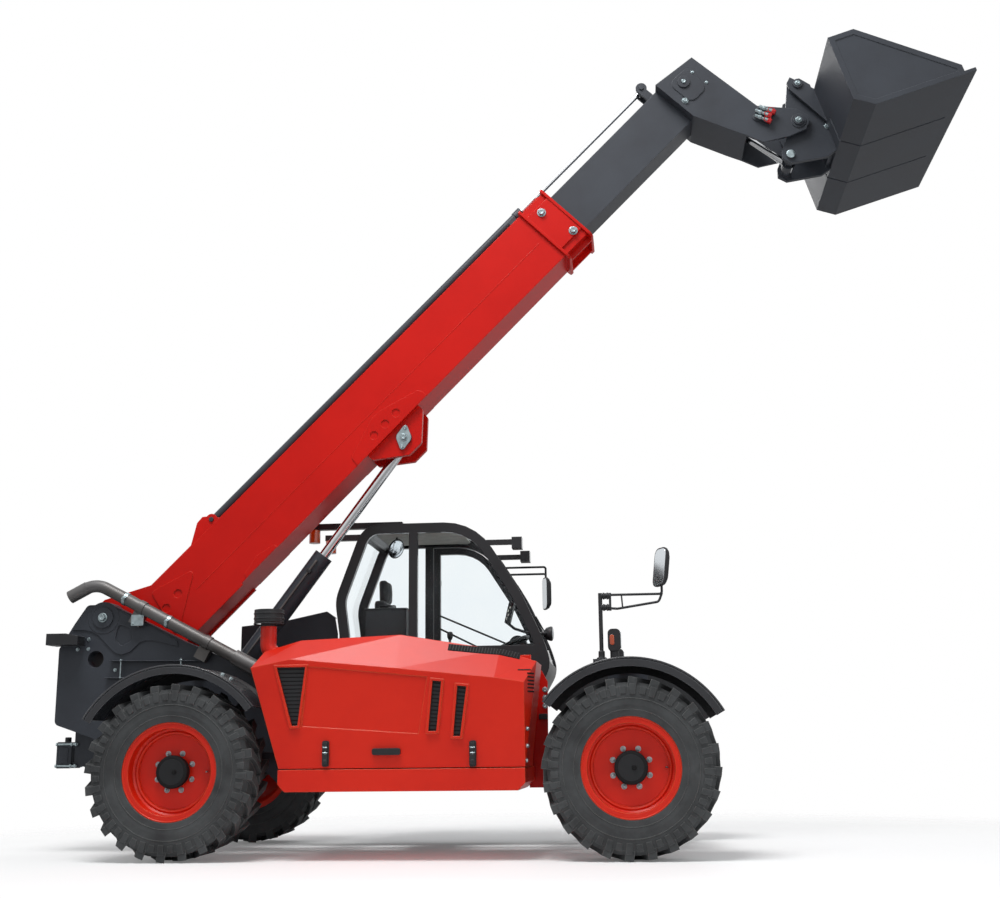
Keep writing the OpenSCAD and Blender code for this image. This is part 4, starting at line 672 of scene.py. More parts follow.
def dress_tower():
    """Pivot and lamp bolts, pipe shelves with their studs, and the bolts of the rear fenders."""
    bolts("pivot_bolts", "chassis", "frame", [at(-840, 0, 1715)], 0.056)
    bolts("lamp_arm_bolts", "chassis", "frame",
          [at(-1034, 0, 1483), at(-1027, 0, 1558), at(-952, 0, 1556), at(-951, 0, 1484), at(-733, 0, 1324)], 0.022)
    shelf, studs = Shape(), Shape()
    for side in SIDES:
        for (x0, z0), (x1, z1) in (((-764, 1391), (-54, 1379)), ((-795, 1266), (-641, 1263))):
            shelf.swept([at(x0, side * SHELF_Y, z0), at(x1, side * SHELF_Y, z1)], strip(0.026, -0.003, 0.003), [Z, Z])
        for x, low, high in ((-677, 1256, 1402), (-214, 1342, 1402)):
            studs.tube([at(x, side * STUD_Y, low), at(x, side * STUD_Y, high)], 0.005)
            for z in (low + 4, high - 16):
                studs.turned([(0.011, 0), (0.011, 0.008), (0.009, 0.01)], facing(at(x, side * STUD_Y, z), Z), 6)
        for x in (293, 354):
            bolt(studs, seated("fenders", at(x, side * 950, 1255), -Z), 0.028)
    shelf.save("tower_shelves", "chassis", charcoal_paint, soft=0.001)
    studs.save("tower_studs", "chassis", zinc)


def dress_hitch():
    """Cheeks that close the sides of the hitch, their clamp bars and the knob of the pin."""
    top = landed("tow_hitch", at(-1208, 40, 1100), -Z)[0]
    foot = landed("tow_hitch", at(-1208, 40, -1100), Z)[0]
    half = landed("tow_hitch", Vector((top.x - 0.02, 1.0, top.z - 0.012)), -Y)[0].y
    cheeks, bars = Shape(), Shape()
    low, high = foot.z - 0.012, top.z + 0.014
    for side in SIDES:
        base = facing(Vector((top.x + 0.012, side * half, (low + high) / 2)), Y * side)
        cheeks.plate(oblong(0.12, high - low, 0.012), -0.001, 0.014, base)
        cheeks.plate(oblong(0.07, (high - low) * 0.6, 0.01), 0.012, 0.019, base)
        for z in (low + 0.018, high - 0.018):
            line = Vector((top.x, side * (half + 0.018), z))
            bars.tube([line - X * 0.052, line + X * 0.12], 0.0075)
            for x in (-0.05, 0.066, 0.1):
                bars.turned([(0.014, 0), (0.014, 0.011), (0.011, 0.013)], facing(line + X * x, X), 6)
    cheeks.save("hitch_cheeks", "chassis", charcoal_paint, soft=0.003)
    bars.save("hitch_bars", "chassis", zinc)
    knob = Shape().turned([(0.032, -0.002), (0.032, 0.012), (0.024, 0.016), (0.024, 0.046), (0.02, 0.05)],
                          facing(Vector((top.x, 0, top.z)), Z), 28)
    knob.save("hitch_pin", "chassis", black_plastic, soft=0.001)


GUARD = ((30, 1240), (440, 1160), (813, 1160), (813, 1620), (790, 1745), (720, 1795), (360, 1722), (30, 1690))
GUARD_FOLD = GUARD[:3:-1]
GUARD_BEADS = (1600, 1480)
GUARD_BOLTS = ((80, 1280), (200, 1255))


def guard_plate():
    """Folded plate between the left tower plate and the cab, bolted to the tower, and the exhaust bracket's plate."""
    y = flank("frame", at(150, 0, 1290), 1).translation.y
    plate = Shape().plate(drawn(GUARD), -0.001, 0.01, upright(y))
    fold = [Vector((x, y + 0.026, z)) for x, z in drawn(GUARD_FOLD)]
    plate.swept(fold, strip(0.022, -0.005, 0.003), [Z] * len(fold))
    for z in GUARD_BEADS:
        bead = drawn(((120, z), (700, z + 50), (700, z + 80), (120, z + 30)))
        plate.plate(bead, 0.008, 0.016, upright(y))
    plate.save("guard_plate", "chassis", charcoal_paint, soft=0.002)
    bolted("guard_bolts", "chassis", [facing(at(x, 1000 * y + 10, z), Y) for x, z in GUARD_BOLTS], 0.03)
    base = facing(landed("exhaust", at(-552, -1000, 1686), Y)[0], -Y)
    small = Shape().plate(oblong(0.096, 0.082, 0.006), -0.001, 0.004, base)
    for end in SIDES:
        bolt(small, base @ Matrix.Translation((end * 0.034, end * 0.026, 0.004)), 0.014)
    small.save("exhaust_bracket_plate", "chassis", zinc, soft=0.001)


AXLE_Z = 588
ARCS = ((0, 37, 150), (3100, 30, 143))
ARC_STEPS = 40
WING_TOP = 0.712
WINGS = ((0.702, 0.604, 0.806), (0.634, 0.6, 0.61))


def dress_fenders():
    """Rolled edge along each fender, and the inner wing with the splash wall that hangs from it."""
    beads, liners = Shape(), Shape()
    for side in SIDES:
        for wheel, low, high in ARCS:
            arc = [spoke(math.radians(low + (high - low) * k / ARC_STEPS)) for k in range(ARC_STEPS + 1)]
            hub = at(wheel, 0, AXLE_Z)
            beads.tube([hub + way * 0.711 + Y * side * 1.14 for way in arc], 0.007, 12)
            for inner, near, far in WINGS:
                band = [hub + way * WING_TOP for way in arc] + [hub + way * inner for way in reversed(arc)]
                liners.plate([(p.x, p.z) for p in band], near, far, upright(side=side))
    beads.save("fender_beads", "chassis", gloss_black)
    liners.save("fender_liners", "chassis", black_plastic, soft=0.001)


EXHAUST_SLOPE = math.radians(27.6)
EXHAUST_END = math.radians(-27.4)


def dress_exhaust():
    """Bright clamp bands on the pipe, and a dark disc on its end: painted shade for the hollow inside of the pipe."""
    along = Vector((-math.cos(EXHAUST_SLOPE), 0, math.sin(EXHAUST_SLOPE)))
    bands = Shape()
    for run in (0.732, 1.114):
        place = at(340, -400, 1330) + along * run
        bands.turned(ring_profile(0.044, 0.0505, -0.013, 0.013), facing(place, along), 40, closed=True)
        ear = facing(place - Y * 0.05, -Y, along)
        bands.block((-0.012, -0.012, -0.004), (0.012, 0.012, 0.016), ear)
        bolt(bands, ear @ Matrix.Translation((0, 0, 0.016)), 0.014)
    bands.save("exhaust_bands", "chassis", zinc, soft=0.001)
    # Dark disc on the pipe's end: painted shade that stands in for the shadowed hollow of the bore.
    way = Vector((math.cos(EXHAUST_END), 0, -math.sin(EXHAUST_END)))
    bore = Shape().turned([(0.038, -0.004), (0.038, 0.0012), (0.03, 0.0015)],
                          seated("exhaust", at(-1084, -400, 1868), way), 32)
    bore.save("exhaust_bore_shade_disc", "chassis", grille_black, slot="pipe_steel")


# Engine cover

VENT = ((-0.015, 0.755), (0.105, 0.755), (0.078, 0.320), (0.053, 0.320))
SLOTS = (((0.630, 0.640), (0.666, 0.632), (0.646, 0.270), (0.613, 0.270)),
         ((0.731, 0.600), (0.768, 0.592), (0.742, 0.232), (0.714, 0.232)))
LATCHES = ((1041, 613), (2035, 604))
ONTO_TOP = Vector((0, 0.35, -1))


def on_cover(share):
    """Place on the cover's side, from shares of its length and height."""
    return at(740 + share[0] * 1665, -1080, 595 + share[1] * 900)


def dress_cover():
    """Slats in the openings, and louvres on the top and front."""
    slats = Shape()
    for outline, count in ((VENT, 15), (SLOTS[0], 13), (SLOTS[1], 13)):
        corners = [on_cover(s) for s in outline]
        for k in range(count):
            t = (k + 0.5) / count
            left, right = corners[0].lerp(corners[3], t), corners[1].lerp(corners[2], t)
            slats.swept([left + X * 0.003, right - X * 0.003],
                        [(-0.003, -0.006), (0.003, -0.002), (0.003, 0.002), (-0.003, -0.002)], [Z, Z])
    for k in range(7):
        slats.block((-0.045, -0.005, -0.003), (0.045, 0.005, 0.0025),
                    seated("engine_cover", at(2480, -1000, 1092 + 24 * k), -X))
    path, ups = [], []
    for k in range(13):
        spot, normal = landed("engine_cover", at(1876 + 41 * k, -945, 1400), ONTO_TOP)
        path.append(spot)
        ups.append(normal)
    slats.swept(path, strip(0.03, -0.002, 0.003, 0.027), ups)
    slats.save("cover_louvres", "cover", grille_black)
    fins = Shape()
    for k in range(24):
        fins.block((-0.0025, -0.024, 0.002), (0.0025, 0.024, 0.007),
                   seated("engine_cover", at(1890 + 20 * k, -945, 1400), ONTO_TOP, Y))
    fins.save("top_louvre_fins", "cover", black_plastic, soft=0.0005)


def dress_latches():
    """Levers and rods of the cover's latches, and the bolts on its front edge."""
    latches, rods = Shape(), Shape()
    for x, z in LATCHES:
        y = landed("cover_trim", at(x + 23, 0, z + 85), Y)[0].y
        base = Matrix.Translation(at(x, 1000 * y, z))
        latches.block((0.009, -0.012, 0.1), (0.037, 0.002, 0.16), base)
        latches.block((0.006, -0.014, 0.008), (0.04, 0.002, 0.082), base)
        latches.block((0.012, -0.02, 0.02), (0.034, -0.012, 0.045), base)
        rods.tube([base @ Vector((0.023, -0.007, 0.078)), base @ Vector((0.023, -0.007, 0.106))], 0.004)
        for h in (0.09, 0.125):
            rods.tube([base @ Vector((0.008, -0.009, h)), base @ Vector((0.038, -0.009, h))], 0.0045)
    latches.save("latch_levers", "cover", black_plastic, soft=0.003)
    rods.save("latch_rods", "cover", zinc)
    bolted("cover_edge_bolts", "cover",
           [seated("engine_cover", at(2440, -1048, z), -X) for z in (847, 735, 640)], 0.024)


BULKHEAD = ((2370, 445), (2506, 445), (2512, 1190), (2468, 1272), (2370, 1272))


def dress_bulkhead():
    """Plate in front of the engine on the frame's rail, with its bolts and clip, and rings on the intake's cap."""
    y = landed("frame", at(2450, 0, 700), Y)[0].y
    board = Shape().plate(drawn(BULKHEAD), -0.002, 0.012, upright(y, -1))
    board.save("front_bulkhead", "chassis", red_paint, soft=0.003)
    bolted("bulkhead_bolts", "chassis", [facing(at(2492, 1000 * y - 12, z), -Y) for z in (1132, 1074, 1018)], 0.03)
    clip = Shape().block((-0.03, -0.02, -0.002), (0.03, 0.02, 0.05), facing(at(2478, 1000 * y - 12, 940), -Y))
    clip.save("bulkhead_clip", "chassis", black_plastic, soft=0.004)
    rings = Shape()
    for z in (1604, 1640, 1676):
        rings.turned(ring_profile(0.1035, 0.1085, -0.005, 0.005), facing(at(557, -750, z), Z), 48, closed=True)
    rings.save("intake_rings", "cover", black_plastic)


# Engine under the cover

PULLEYS = ((0.35, 0.4, 0.1), (0.5, 0.82, 0.07))


def dress_engine():
    """Head cover, ribs, manifold, filters, generator and pulleys on the engine block."""
    block = [vertex.co for vertex in NODES["engine"].data.vertices]
    low, high = (Vector([pick(p[i] for p in block) for i in range(3)]) for pick in (min, max))
    size = high - low

    def on_block(x, out, z):
        return Vector((low.x + size.x * x, low.y - out, low.z + size.z * z))

    cast, metal, black = Shape(), Shape(), Shape()
    top = Vector(((low.x + high.x) / 2, (low.y + high.y) / 2, high.z))
    cast.plate(oblong(size.x * 0.86, 0.3, 0.04), -0.002, 0.02, facing(top, Z, Y))
    cast.plate(oblong(size.x * 0.8, 0.24, 0.05), 0.018, 0.085, facing(top, Z, Y))
    for k in range(5):
        for side in SIDES:
            bolt(metal, facing(top + Vector(((k - 2) * size.x * 0.19, side * 0.135, 0.02)), Z), 0.022)
    black.turned([(0.038, 0), (0.038, 0.02), (0.03, 0.026), (0.03, 0.034)],
                 facing(top + Vector((size.x * 0.25, 0, 0.084)), Z), 24)
    for k in range(8):
        cast.block((-0.01, -0.13, -0.002), (0.01, 0.13, 0.018), facing(on_block(0.06 + 0.125 * k, 0, 0.28), -Y))
    for z in (0.08, 0.56):
        cast.block((-size.x * 0.48, -0.012, -0.002), (size.x * 0.48, 0.012, 0.022), facing(on_block(0.5, 0, z), -Y))
    for k in range(9):
        bolt(metal, facing(on_block(0.05 + 0.1125 * k, 0.022, 0.08), -Y), 0.016)
    metal.tube([on_block(0.06, 0.055, 0.84), on_block(0.9, 0.055, 0.84)], 0.034, 20)
    for k in range(4):
        runner = [on_block(0.14 + 0.22 * k, out, z) for out, z in ((-0.004, 0.72), (0.055, 0.72), (0.055, 0.84))]
        metal.tube(bent(runner, 0.03), 0.022, 16)
    black.turned([(0.03, -0.002), (0.05, 0.012), (0.05, 0.075), (0.044, 0.088)], facing(on_block(0.3, 0, 0.36), -Y), 28)
    black.turned([(0.034, 0), (0.042, 0.01), (0.042, 0.14), (0.03, 0.155)], facing(on_block(0.56, 0.055, 0.2), Z), 28)
    black.block((-0.03, -0.02, -0.002), (0.03, 0.02, 0.03), facing(on_block(0.56, 0, 0.44), -Y))
    metal.turned([(0.045, 0), (0.062, 0.014), (0.062, 0.13), (0.045, 0.145)], facing(on_block(0.8, 0.068, 0.38), X), 28)
    metal.block((-0.05, -0.02, -0.002), (0.05, 0.02, 0.03), facing(on_block(0.87, 0, 0.38), -Y))
    for y, z, r in PULLEYS:
        hub = Vector((high.x, low.y + size.y * y, low.z + size.z * z))
        black.turned([(0.03, -0.002), (0.03, 0.012), (r, 0.014), (r - 0.008, 0.024), (r, 0.034), (0.03, 0.036),
                      (0.03, 0.05)], facing(hub, X), 36)
    cast.save("engine_castings", "chassis", cast_black, soft=0.004)
    metal.save("engine_pipes", "chassis", pipe_steel)
    black.save("engine_fittings", "chassis", black_plastic, soft=0.001)


# Mirrors and lamps

def mirror(heads, glass, middle, normal):
    """Mirror head about its middle: a rim, a narrower back and the glass."""
    base = facing(middle, normal)
    heads.plate(oblong(0.16, 0.27, 0.05), -0.004, 0.012, base)
    heads.plate(oblong(0.146, 0.252, 0.05), -0.018, 0.0, base)
    heads.plate(oblong(0.11, 0.214, 0.045), -0.032, -0.01, base)
    glass.plate(oblong(0.144, 0.252, 0.043), 0.011, 0.0135, base)


RIGHT_MIRROR_Y = -947.5
LEFT_MIRROR = (2421, 1064)


def make_mirrors():
    """Both mirrors with their stays, which stand for the plain solids."""
    stays, heads, glass = Shape(), Shape(), Shape()

    def right(*places):
        return [at(x, RIGHT_MIRROR_Y, z) for x, z in places]

    def left(*heights):
        return [at(*LEFT_MIRROR, z) for z in heights]

    foot, top = right((2925, 1302), (2925, 1748))
    stays.turned([(0.034, -0.002), (0.034, 0.008), (0.022, 0.014), (0.022, 0.05), (0.016, 0.056)], facing(foot, Z), 24)
    stays.tube([foot, top], 0.014, 16)
    for k in range(5):
        for place in right((2930 + 13 * k, 1728), (2930 + 13 * k, 1650)):
            stays.turned(ring_profile(0.008, 0.024 if k % 2 else 0.02, 0, 0.013), facing(place, X), 20, closed=True)
    stays.block((-0.004, -0.012, -0.1), (0.012, 0.012, 0.02), Matrix.Translation(right((2988, 1728))[0]))
    stays.tube(bent(right((2990, 1735), (3345, 1735), (3345, 1830)), 0.02), 0.0085)
    stays.tube(bent(right((2990, 1644), (3040, 1640), (3322, 1682), (3345, 1740)), 0.03), 0.0085)
    stays.tube(right((3076, 1646), (3070, 1735)), 0.0055)
    mirror(heads, glass, right((3345, 1917))[0], Vector((-0.87, -0.48, 0.13)))
    for z in (2209, 2150):
        spot = landed("cab_frame", left(z)[0], -X)[0]
        stays.tube(bent([spot - X * 0.003] + left(z, z - 60), 0.02), 0.009)
    stays.tube(left(2200, 2090), 0.009)
    mirror(heads, glass, left(1984)[0], Vector((-0.951, -0.309, 0)))
    for shape, name, look, soft in ((stays, "mirror_stays", black_plastic, 0.0),
                                    (heads, "mirror_heads", black_plastic, 0.0008),
                                    (glass, "mirror_glass", mirror_glass, 0.0008)):
        piece = shape.save(name, "chassis", look, soft=soft)
        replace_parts(piece, "mirrors")


def dress_lamps():
    """Front lamp housings with their lenses."""
    for side, tag in ((-1, "right"), (1, "left")):
        lamp = Shape()
        middle = at(3012, side * 947.5, 1428)
        lamp.plate(oblong(0.086, 0.15, 0.03), -0.034, 0.034, facing(middle, Y * side))
        lamp.look = 1
        lamp.plate(oblong(0.03, 0.07, 0.012), 0.033, 0.037, facing(middle - X * 0.014, Y * side))
        lamp.look = 2
        lamp.plate(oblong(0.056, 0.11, 0.02), 0.042, 0.047, facing(middle, X))
        lamp.save("front_lamp_" + tag, "chassis", black_plastic, lamp_orange, lens_clear, soft=0.003)


# Cab

CAB_Y = 660
CAB_BOXES = (((1043, 286, 1450), (1369, 402, 1795)), ((1037, 282, 1795), (1375, 406, 1809)),
             ((1060, 260, 1470), (1100, 290, 1560)), ((1310, 260, 1470), (1350, 290, 1560)),
             ((1560, 300, 869), (1760, 392, 1470)))


def dress_cab():
    """Headliner, roof panel, mirror, toolbox, display, hood and console of the cab."""
    roof = landed("cab_frame", at(1450, CAB_Y, 2600), -Z)[0]
    panel = Shape().plate(oblong(0.56, 0.62, 0.07), -0.002, 0.012, facing(roof, Z))
    panel.save("roof_panel", "chassis", charcoal_paint, soft=0.004)
    inside = landed("cab_frame", at(1450, CAB_Y, 4300), Z)[0]
    lining = Shape().plate(oblong(0.60, 0.70, 0.05), -0.014, 0.001, facing(inside, Z))
    lining.save("headliner", "chassis", headliner, soft=0.004)
    dark = Shape()
    dark.tube([inside + Vector((-0.2, -0.14, 0)), inside + Vector((-0.21, -0.14, -0.07))], 0.008)
    dish = facing(inside + Vector((-0.21, -0.14, -0.105)), Vector((0.75, -0.55, -0.35)))
    dark.turned([(0.05, -0.03), (0.07, -0.012), (0.082, 0.0), (0.082, 0.006), (0.078, 0.008)], dish, 32)
    for low, high in CAB_BOXES:
        dark.block(at(*low), at(*high))
    dark.tube(bent([at(1140, 344, 1806), at(1140, 344, 1832), at(1270, 344, 1832), at(1270, 344, 1806)], 0.01), 0.006)
    display = Matrix.Translation(at(2185, 318, 1752)) @ Matrix.Rotation(math.radians(14), 4, "Y")
    dark.block((-0.02, -0.06, -0.085), (0.02, 0.06, 0.085), display)
    dark.tube(bent([display @ Vector((0.0, 0, -0.08)), at(2220, 318, 1630), at(2300, 262, 1600),
                    landed("cab_frame", at(4300, 256, 1585), X)[0]], 0.02), 0.011)
    hood = [(2158, 1345), (2288, 1345), (2288, 1520)] + on_circle(70, range(0, 181, 15), (2218, 1530))
    dark.plate(drawn(hood), 0.58, 0.74, upright())
    dark.tube([at(1700, 346, 1460), at(1708, 346, 1570)], 0.01)
    dark.turned([(0.014, 0), (0.022, 0.02), (0.024, 0.045), (0.016, 0.062)], facing(at(1707, 346, 1556), Z), 20)
    dark.save("cab_fittings", "chassis", black_plastic, soft=0.004)
    bright = Shape()
    bright.turned([(0.076, 0.006), (0.06, 0.012), (0.03, 0.016), (0.01, 0.017)], dish, 32)
    bright.save("cab_mirror_glass", "chassis", mirror_glass)
    keys = Shape()
    keys.block((-0.0225, -0.048, -0.03), (-0.019, 0.048, 0.07), display)
    keys.look = 1
    for k in range(4):
        keys.block((-0.024, -0.044 + 0.024 * k, -0.068), (-0.019, -0.03 + 0.024 * k, -0.048), display)
        x, z = 0.009 * (k % 2), 0.03 * k
        keys.block((x - 0.016, -0.0625, z - 0.06), (x - 0.006, -0.059, z - 0.042), display)
    keys.save("display_face", "chassis", screen, headliner, soft=0.001)


DOOR_RAILS = (((1463, 1841), (2026, 1596)), ((1463, 1736), (1734, 1601)))


def dress_door():
    """Handle and lock at the front of the left door, and the two rails across it."""
    edge = landed("door_frame", at(2900, 1075, 1190), -X)[0]
    base = seated("door_frame", edge - X * 0.032 + Y, -Y)
    handle = Shape().plate(oblong(0.042, 0.17, 0.018), -0.002, 0.007, base)
    grip = [base @ Vector((0, y, z)) for y, z in ((-0.06, 0.004), (-0.06, 0.036), (0.055, 0.036), (0.055, 0.004))]
    handle.tube(bent(grip, 0.012), 0.008, 14)
    for rail in DOOR_RAILS:
        first, last = (at(x, 1056, z) for x, z in rail)
        way = (last - first).normalized()
        handle.tube([landed("door_frame", first, way)[0] + way * 0.02,
                     landed("door_frame", last, -way)[0] - way * 0.02], 0.008)
    handle.look = 1
    handle.turned([(0.011, 0.004), (0.011, 0.011), (0.008, 0.013), (0.003, 0.011)],
                  base @ Matrix.Translation((0, 0.071, 0)), 20)
    handle.save("door_handle", "door", black_plastic, zinc, soft=0.0015)


def dress_front():
    """Wiper and road lamp on the front of the cab."""
    wiper = Shape()
    blade, ups = [], []
    for k in range(11):
        spot, normal = landed("cab_glass", at(2500, 600 + 6 * k, 1480 + 52 * k), -X)
        blade.append(spot + normal * 0.012)
        ups.append(normal)
    wiper.swept(blade, strip(0.005, -0.012, 0.006, 0.008), ups)
    foot, normal = landed("cab_frame", at(2600, 660, 1395), -X)
    wiper.turned([(0.03, -0.005), (0.03, 0.02), (0.022, 0.03)], facing(foot, normal), 20)
    wiper.tube(bent([foot + normal * 0.02, blade[1] + ups[1] * 0.03, blade[5] + ups[5] * 0.012], 0.05), 0.006)
    wiper.save("wiper", "chassis", black_plastic)
    lamp = Shape()
    post, normal = landed("cab_frame", at(2600, 250, 1585), -X)
    middle = post + Vector((0.07, 0.06, 0))
    lamp.tube(bent([post - normal * 0.004, post + Vector((0.03, 0, 0)), middle], 0.012), 0.011)
    lamp.turned([(0.022, -0.05), (0.046, -0.03), (0.056, 0.0), (0.056, 0.014), (0.05, 0.02)], facing(middle, X), 28)
    lamp.look = 1
    lamp.turned([(0.05, 0.019), (0.036, 0.026), (0.012, 0.029)], facing(middle, X), 28)
    lamp.save("road_lamp", "chassis", black_plastic, lens_clear)


# Seat

SEAT = {"cushion": ((1355, CAB_Y, 1288), (0.232, 0.232, 0.058), 0.0),
        "back": ((1151, CAB_Y, 1602), (0.05, 0.232, 0.296), 5.5),
        "headrest": ((1131, CAB_Y, 1974), (0.034, 0.116, 0.09), 1.5)}
SWELL_FRAMES = 20
SWELL_REACH = 0.012
SEAMS = (-0.46, 0.46)
SEAM_DEPTH = 0.010
SEAM_WIDTH = 0.012
CROWN = 0.004


def swell(piece, held, reach):
    """Lets cloth under pressure fill the cover out, no point further than reach; held points stay."""
    scene = bpy.context.scene
    before = [v.co.copy() for v in piece.data.vertices]
    group = piece.vertex_groups.new(name="held")
    group.add(held, 1.0, "REPLACE")
    cloth = piece.modifiers.new("cloth", "CLOTH")
    cloth.settings.vertex_group_mass = "held"
    cloth.settings.use_pressure = True
    cloth.settings.uniform_pressure_force = 4.0
    cloth.settings.effector_weights.gravity = 0.0
    cloth.point_cache.frame_end = SWELL_FRAMES
    for step in range(1, SWELL_FRAMES + 1):
        scene.frame_set(step)
    grown = piece.evaluated_get(bpy.context.evaluated_depsgraph_get())
    after = [v.co.copy() for v in grown.data.vertices]
    piece.modifiers.remove(cloth)
    piece.vertex_groups.clear()
    scene.frame_set(1)
    for vertex, old, new in zip(piece.data.vertices, before, after):
        move = new - old
        vertex.co = old + move * min(1.0, reach / max(move.length, 1e-6))


def make_pad(name, place, half, lean):
    """Crowned, sewn pad about a place, leaning back by lean degrees."""
    work = bmesh.new()
    bmesh.ops.create_cube(work, size=2.0)
    bmesh.ops.subdivide_edges(work, edges=work.edges[:], cuts=17, use_grid_fill=True)
    corner = min(half) * 0.75
    for vertex in work.verts:
        whole = Vector([vertex.co[i] * half[i] for i in range(3)])
        core = Vector([max(-half[i] + corner, min(half[i] - corner, whole[i])) for i in range(3)])
        push = whole - core
        vertex.co = core + (push.normalized() * corner if push.length > 1e-6 else push)
    mesh = bpy.data.meshes.new("seat_" + name)
    work.to_mesh(mesh)
    work.free()
    piece = bpy.data.objects.new("seat_" + name, mesh)
    bpy.context.scene.collection.objects.link(piece)
    thin = min(range(3), key=lambda i: half[i])
    swell(piece, [v.index for v in mesh.vertices if v.co[thin] < -half[thin] * 0.7], SWELL_REACH)
    wide = 1
    for vertex in mesh.vertices:
        if vertex.co[thin] > 0:
            for seam in SEAMS:
                near = (vertex.co[wide] - seam * half[wide]) / SEAM_WIDTH
                vertex.co[thin] -= SEAM_DEPTH * math.exp(-near * near)
            vertex.co[thin] += CROWN * (1 - (vertex.co[wide] / half[wide]) ** 2)
    mesh.transform(Matrix.Translation(place) @ Matrix.Rotation(math.radians(-lean), 4, "Y"))
    mesh.materials.append(seat_cover)
    mesh.shade_smooth()
    smooth = piece.modifiers.new("smooth", "SUBSURF")
    smooth.levels = smooth.render_levels = 1
    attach(piece, "chassis")
    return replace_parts(piece, "seat")


def make_seat():
    """Pads of the seat on its bellows and base, which stand for the plain solid."""
    for name, (place, half, lean) in SEAT.items():
        make_pad(name, at(*place), half, lean)
    base = Shape()
    floor = at(1315, CAB_Y, 870)
    base.plate(oblong(0.42, 0.34, 0.03), 0.0, 0.03, facing(floor, Z, X))
    for k in range(9):
        grow = 0.0 if k % 2 else 0.014
        base.plate(oblong(0.34 + grow, 0.27 + grow, 0.05), 0.03 + 0.026 * k, 0.056 + 0.026 * k, facing(floor, Z, X))
    base.plate(oblong(0.46, 0.44, 0.04), 0.262, 0.362, facing(floor + X * 0.03, Z, X))
    base.block((-0.23, -0.16, 0.3), (-0.19, 0.16, 0.62), Matrix.Translation(floor) @ Matrix.Rotation(
        math.radians(-4), 4, "Y"))
    for side in SIDES:
        base.tube([at(1128, CAB_Y + side * 60, 1860), at(1131, CAB_Y + side * 60, 1930)], 0.007)
    piece = base.save("seat_base", "chassis", black_plastic, soft=0.006)
    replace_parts(piece, "seat")


for step in (dress_wheels, dress_boom, dress_head, dress_lift, dress_tower, dress_hitch, guard_plate, dress_fenders,
             dress_exhaust, dress_cover, dress_latches, dress_bulkhead, dress_engine, make_mirrors, dress_lamps,
             dress_cab, dress_front, dress_door, make_seat):
    step()


# Camera, light and floor

CAMERA_PLACE = Vector((0.915, -9.973, 0.7205))
CAMERA_YAW = math.radians(-5.755)
CAMERA_PITCH = math.radians(12.811)
CAMERA_ROLL = math.radians(-0.635)
SENSOR = 36.0
LENS = 47.39


def make_camera():
    """Camera at the photograph's place and angle."""
    forward = Vector((math.sin(CAMERA_YAW) * math.cos(CAMERA_PITCH), math.cos(CAMERA_YAW) * math.cos(CAMERA_PITCH),
                      math.sin(CAMERA_PITCH)))
    level = Vector((math.cos(CAMERA_YAW), -math.sin(CAMERA_YAW), 0))
    upright = level.cross(forward)
    right = math.cos(CAMERA_ROLL) * level + math.sin(CAMERA_ROLL) * upright
    data = bpy.data.cameras.new("camera")
    data.sensor_width = SENSOR
    data.lens = LENS
    data.clip_end = 200
    camera = bpy.data.objects.new("camera", data)
    camera.matrix_world = Matrix.Translation(CAMERA_PLACE) @ Matrix(
        (right, right.cross(forward), -forward)).transposed().to_4x4()
    bpy.context.scene.collection.objects.link(camera)
    bpy.context.scene.camera = camera


def softbox(name, place, target, size, power):
    """Soft area lamp that faces the target."""
    data = bpy.data.lights.new(name, "AREA")
    data.shape = "RECTANGLE"
    data.size, data.size_y = size
    data.energy = power
    lamp = bpy.data.objects.new(name, data)
    place, target = Vector(place), Vector(target)
    lamp.matrix_world = Matrix.Translation(place) @ (target - place).to_track_quat("-Z", "Y").to_matrix().to_4x4()
    bpy.context.scene.collection.objects.link(lamp)


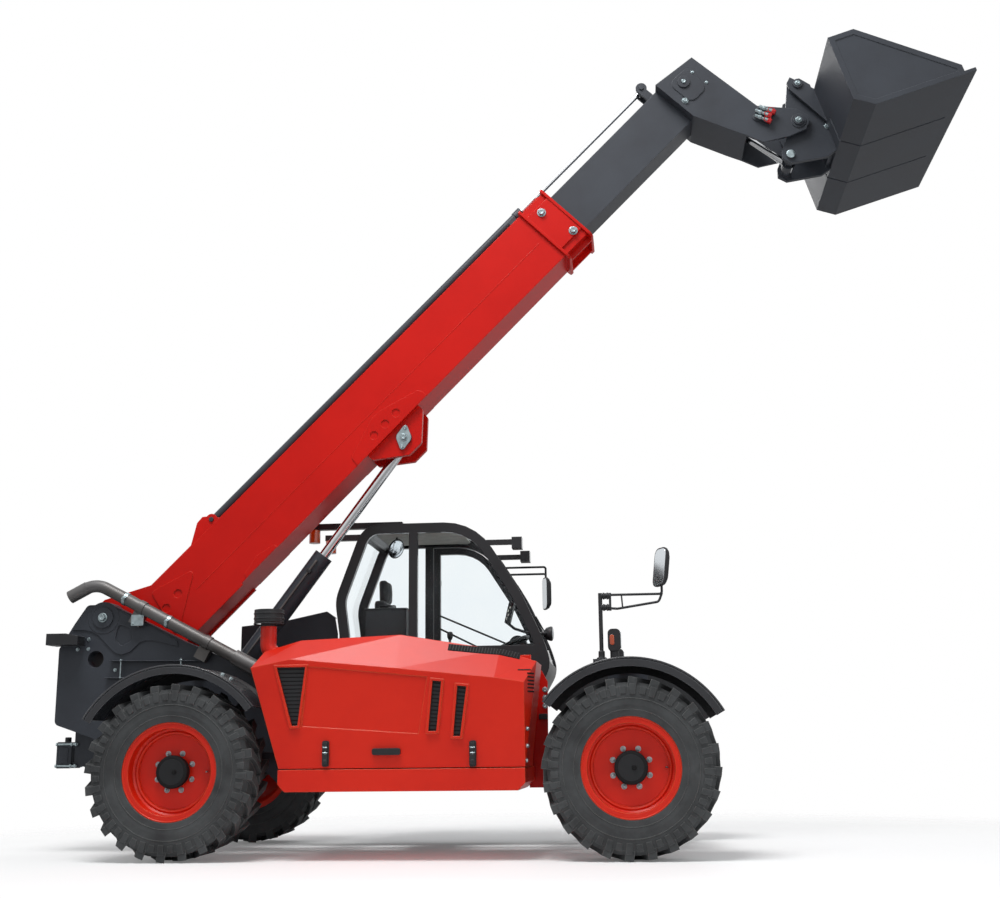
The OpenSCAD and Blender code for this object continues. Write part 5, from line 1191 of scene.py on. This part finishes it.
def make_light():
    """White surroundings for what looks at them, softer light from them, and three softboxes."""
    world = bpy.data.worlds.new("studio")
    bpy.context.scene.world = world
    world.use_nodes = True
    tree = world.node_tree
    tree.nodes.clear()
    path = node_of(tree, "LightPath")
    seen = node_of(tree, "Math", {
        0: path.outputs["Is Camera Ray"], 1: path.outputs["Is Transmission Ray"]}, operation="MAXIMUM")
    way = node_of(tree, "SeparateXYZ", {0: node_of(tree, "TexCoord").outputs["Generated"]})
    height = node_of(tree, "MapRange", {
        "Value": way.outputs["Z"], "From Min": -0.15, "From Max": 0.35, "To Min": 0.4, "To Max": 1.0})
    light = node_of(tree, "Background", {"Color": (0.95, 0.97, 1.0, 1.0), "Strength": 0.38})
    shine = node_of(tree, "Background", {"Color": (1.0, 1.0, 1.0, 1.0), "Strength": height})
    white = node_of(tree, "Background", {"Color": (1.0, 1.0, 1.0, 1.0), "Strength": 1.0})
    around = node_of(tree, "MixShader", {0: path.outputs["Is Glossy Ray"], 1: light, 2: shine})
    node_of(tree, "OutputWorld", {"Surface": node_of(tree, "MixShader", {0: seen, 1: around, 2: white})})
    middle = (cad_low + cad_high) / 2
    softbox("key", middle + Vector((-2, -4.5, 8.5)), middle, (5, 4), 920)
    softbox("fill", middle + Vector((6, -8, 2)), middle, (6, 6), 130)
    softbox("back", middle + Vector((2, 8, 6)), middle, (7, 4), 280)


FLOOR_SIZE = 60.0
FADE = (2.2, 6.0)


def make_floor():
    """Pale floor that keeps the shadow and fades into the white surroundings."""
    bpy.ops.mesh.primitive_plane_add(size=FLOOR_SIZE, location=(0, 0, 0))
    floor = bpy.context.object
    floor.name = "floor"
    material = bpy.data.materials.new("floor")
    material.use_nodes = True
    tree = material.node_tree
    tree.nodes.clear()
    place = node_of(tree, "TexCoord").outputs["Object"]
    far = node_of(tree, "VectorMath", {0: place}, operation="LENGTH")
    fade = node_of(tree, "MapRange", {
        "Value": far.outputs["Value"], "From Min": FADE[0], "From Max": FADE[1]})
    grain = node_of(tree, "TexNoise", {"Vector": place, "Scale": 40.0, "Detail": 4.0})
    tone = node_of(tree, "MapRange", {"Value": grain, "To Min": 0.9, "To Max": 0.94})
    pale = node_of(tree, "BsdfDiffuse", {"Color": tone})
    clear = node_of(tree, "BsdfTransparent")
    lift = node_of(tree, "Math", {0: node_of(tree, "LightPath").outputs["Is Camera Ray"], 1: 0.1},
                   operation="MULTIPLY")
    glow = node_of(tree, "Emission", {"Strength": lift})
    pale = node_of(tree, "AddShader", {0: pale, 1: glow})
    node_of(tree, "OutputMaterial", {"Surface": node_of(tree, "MixShader", {0: fade, 1: pale, 2: clear})})
    floor.data.materials.append(material)


make_camera()
make_light()
make_floor()
bpy.context.scene.view_settings.view_transform = "Standard"
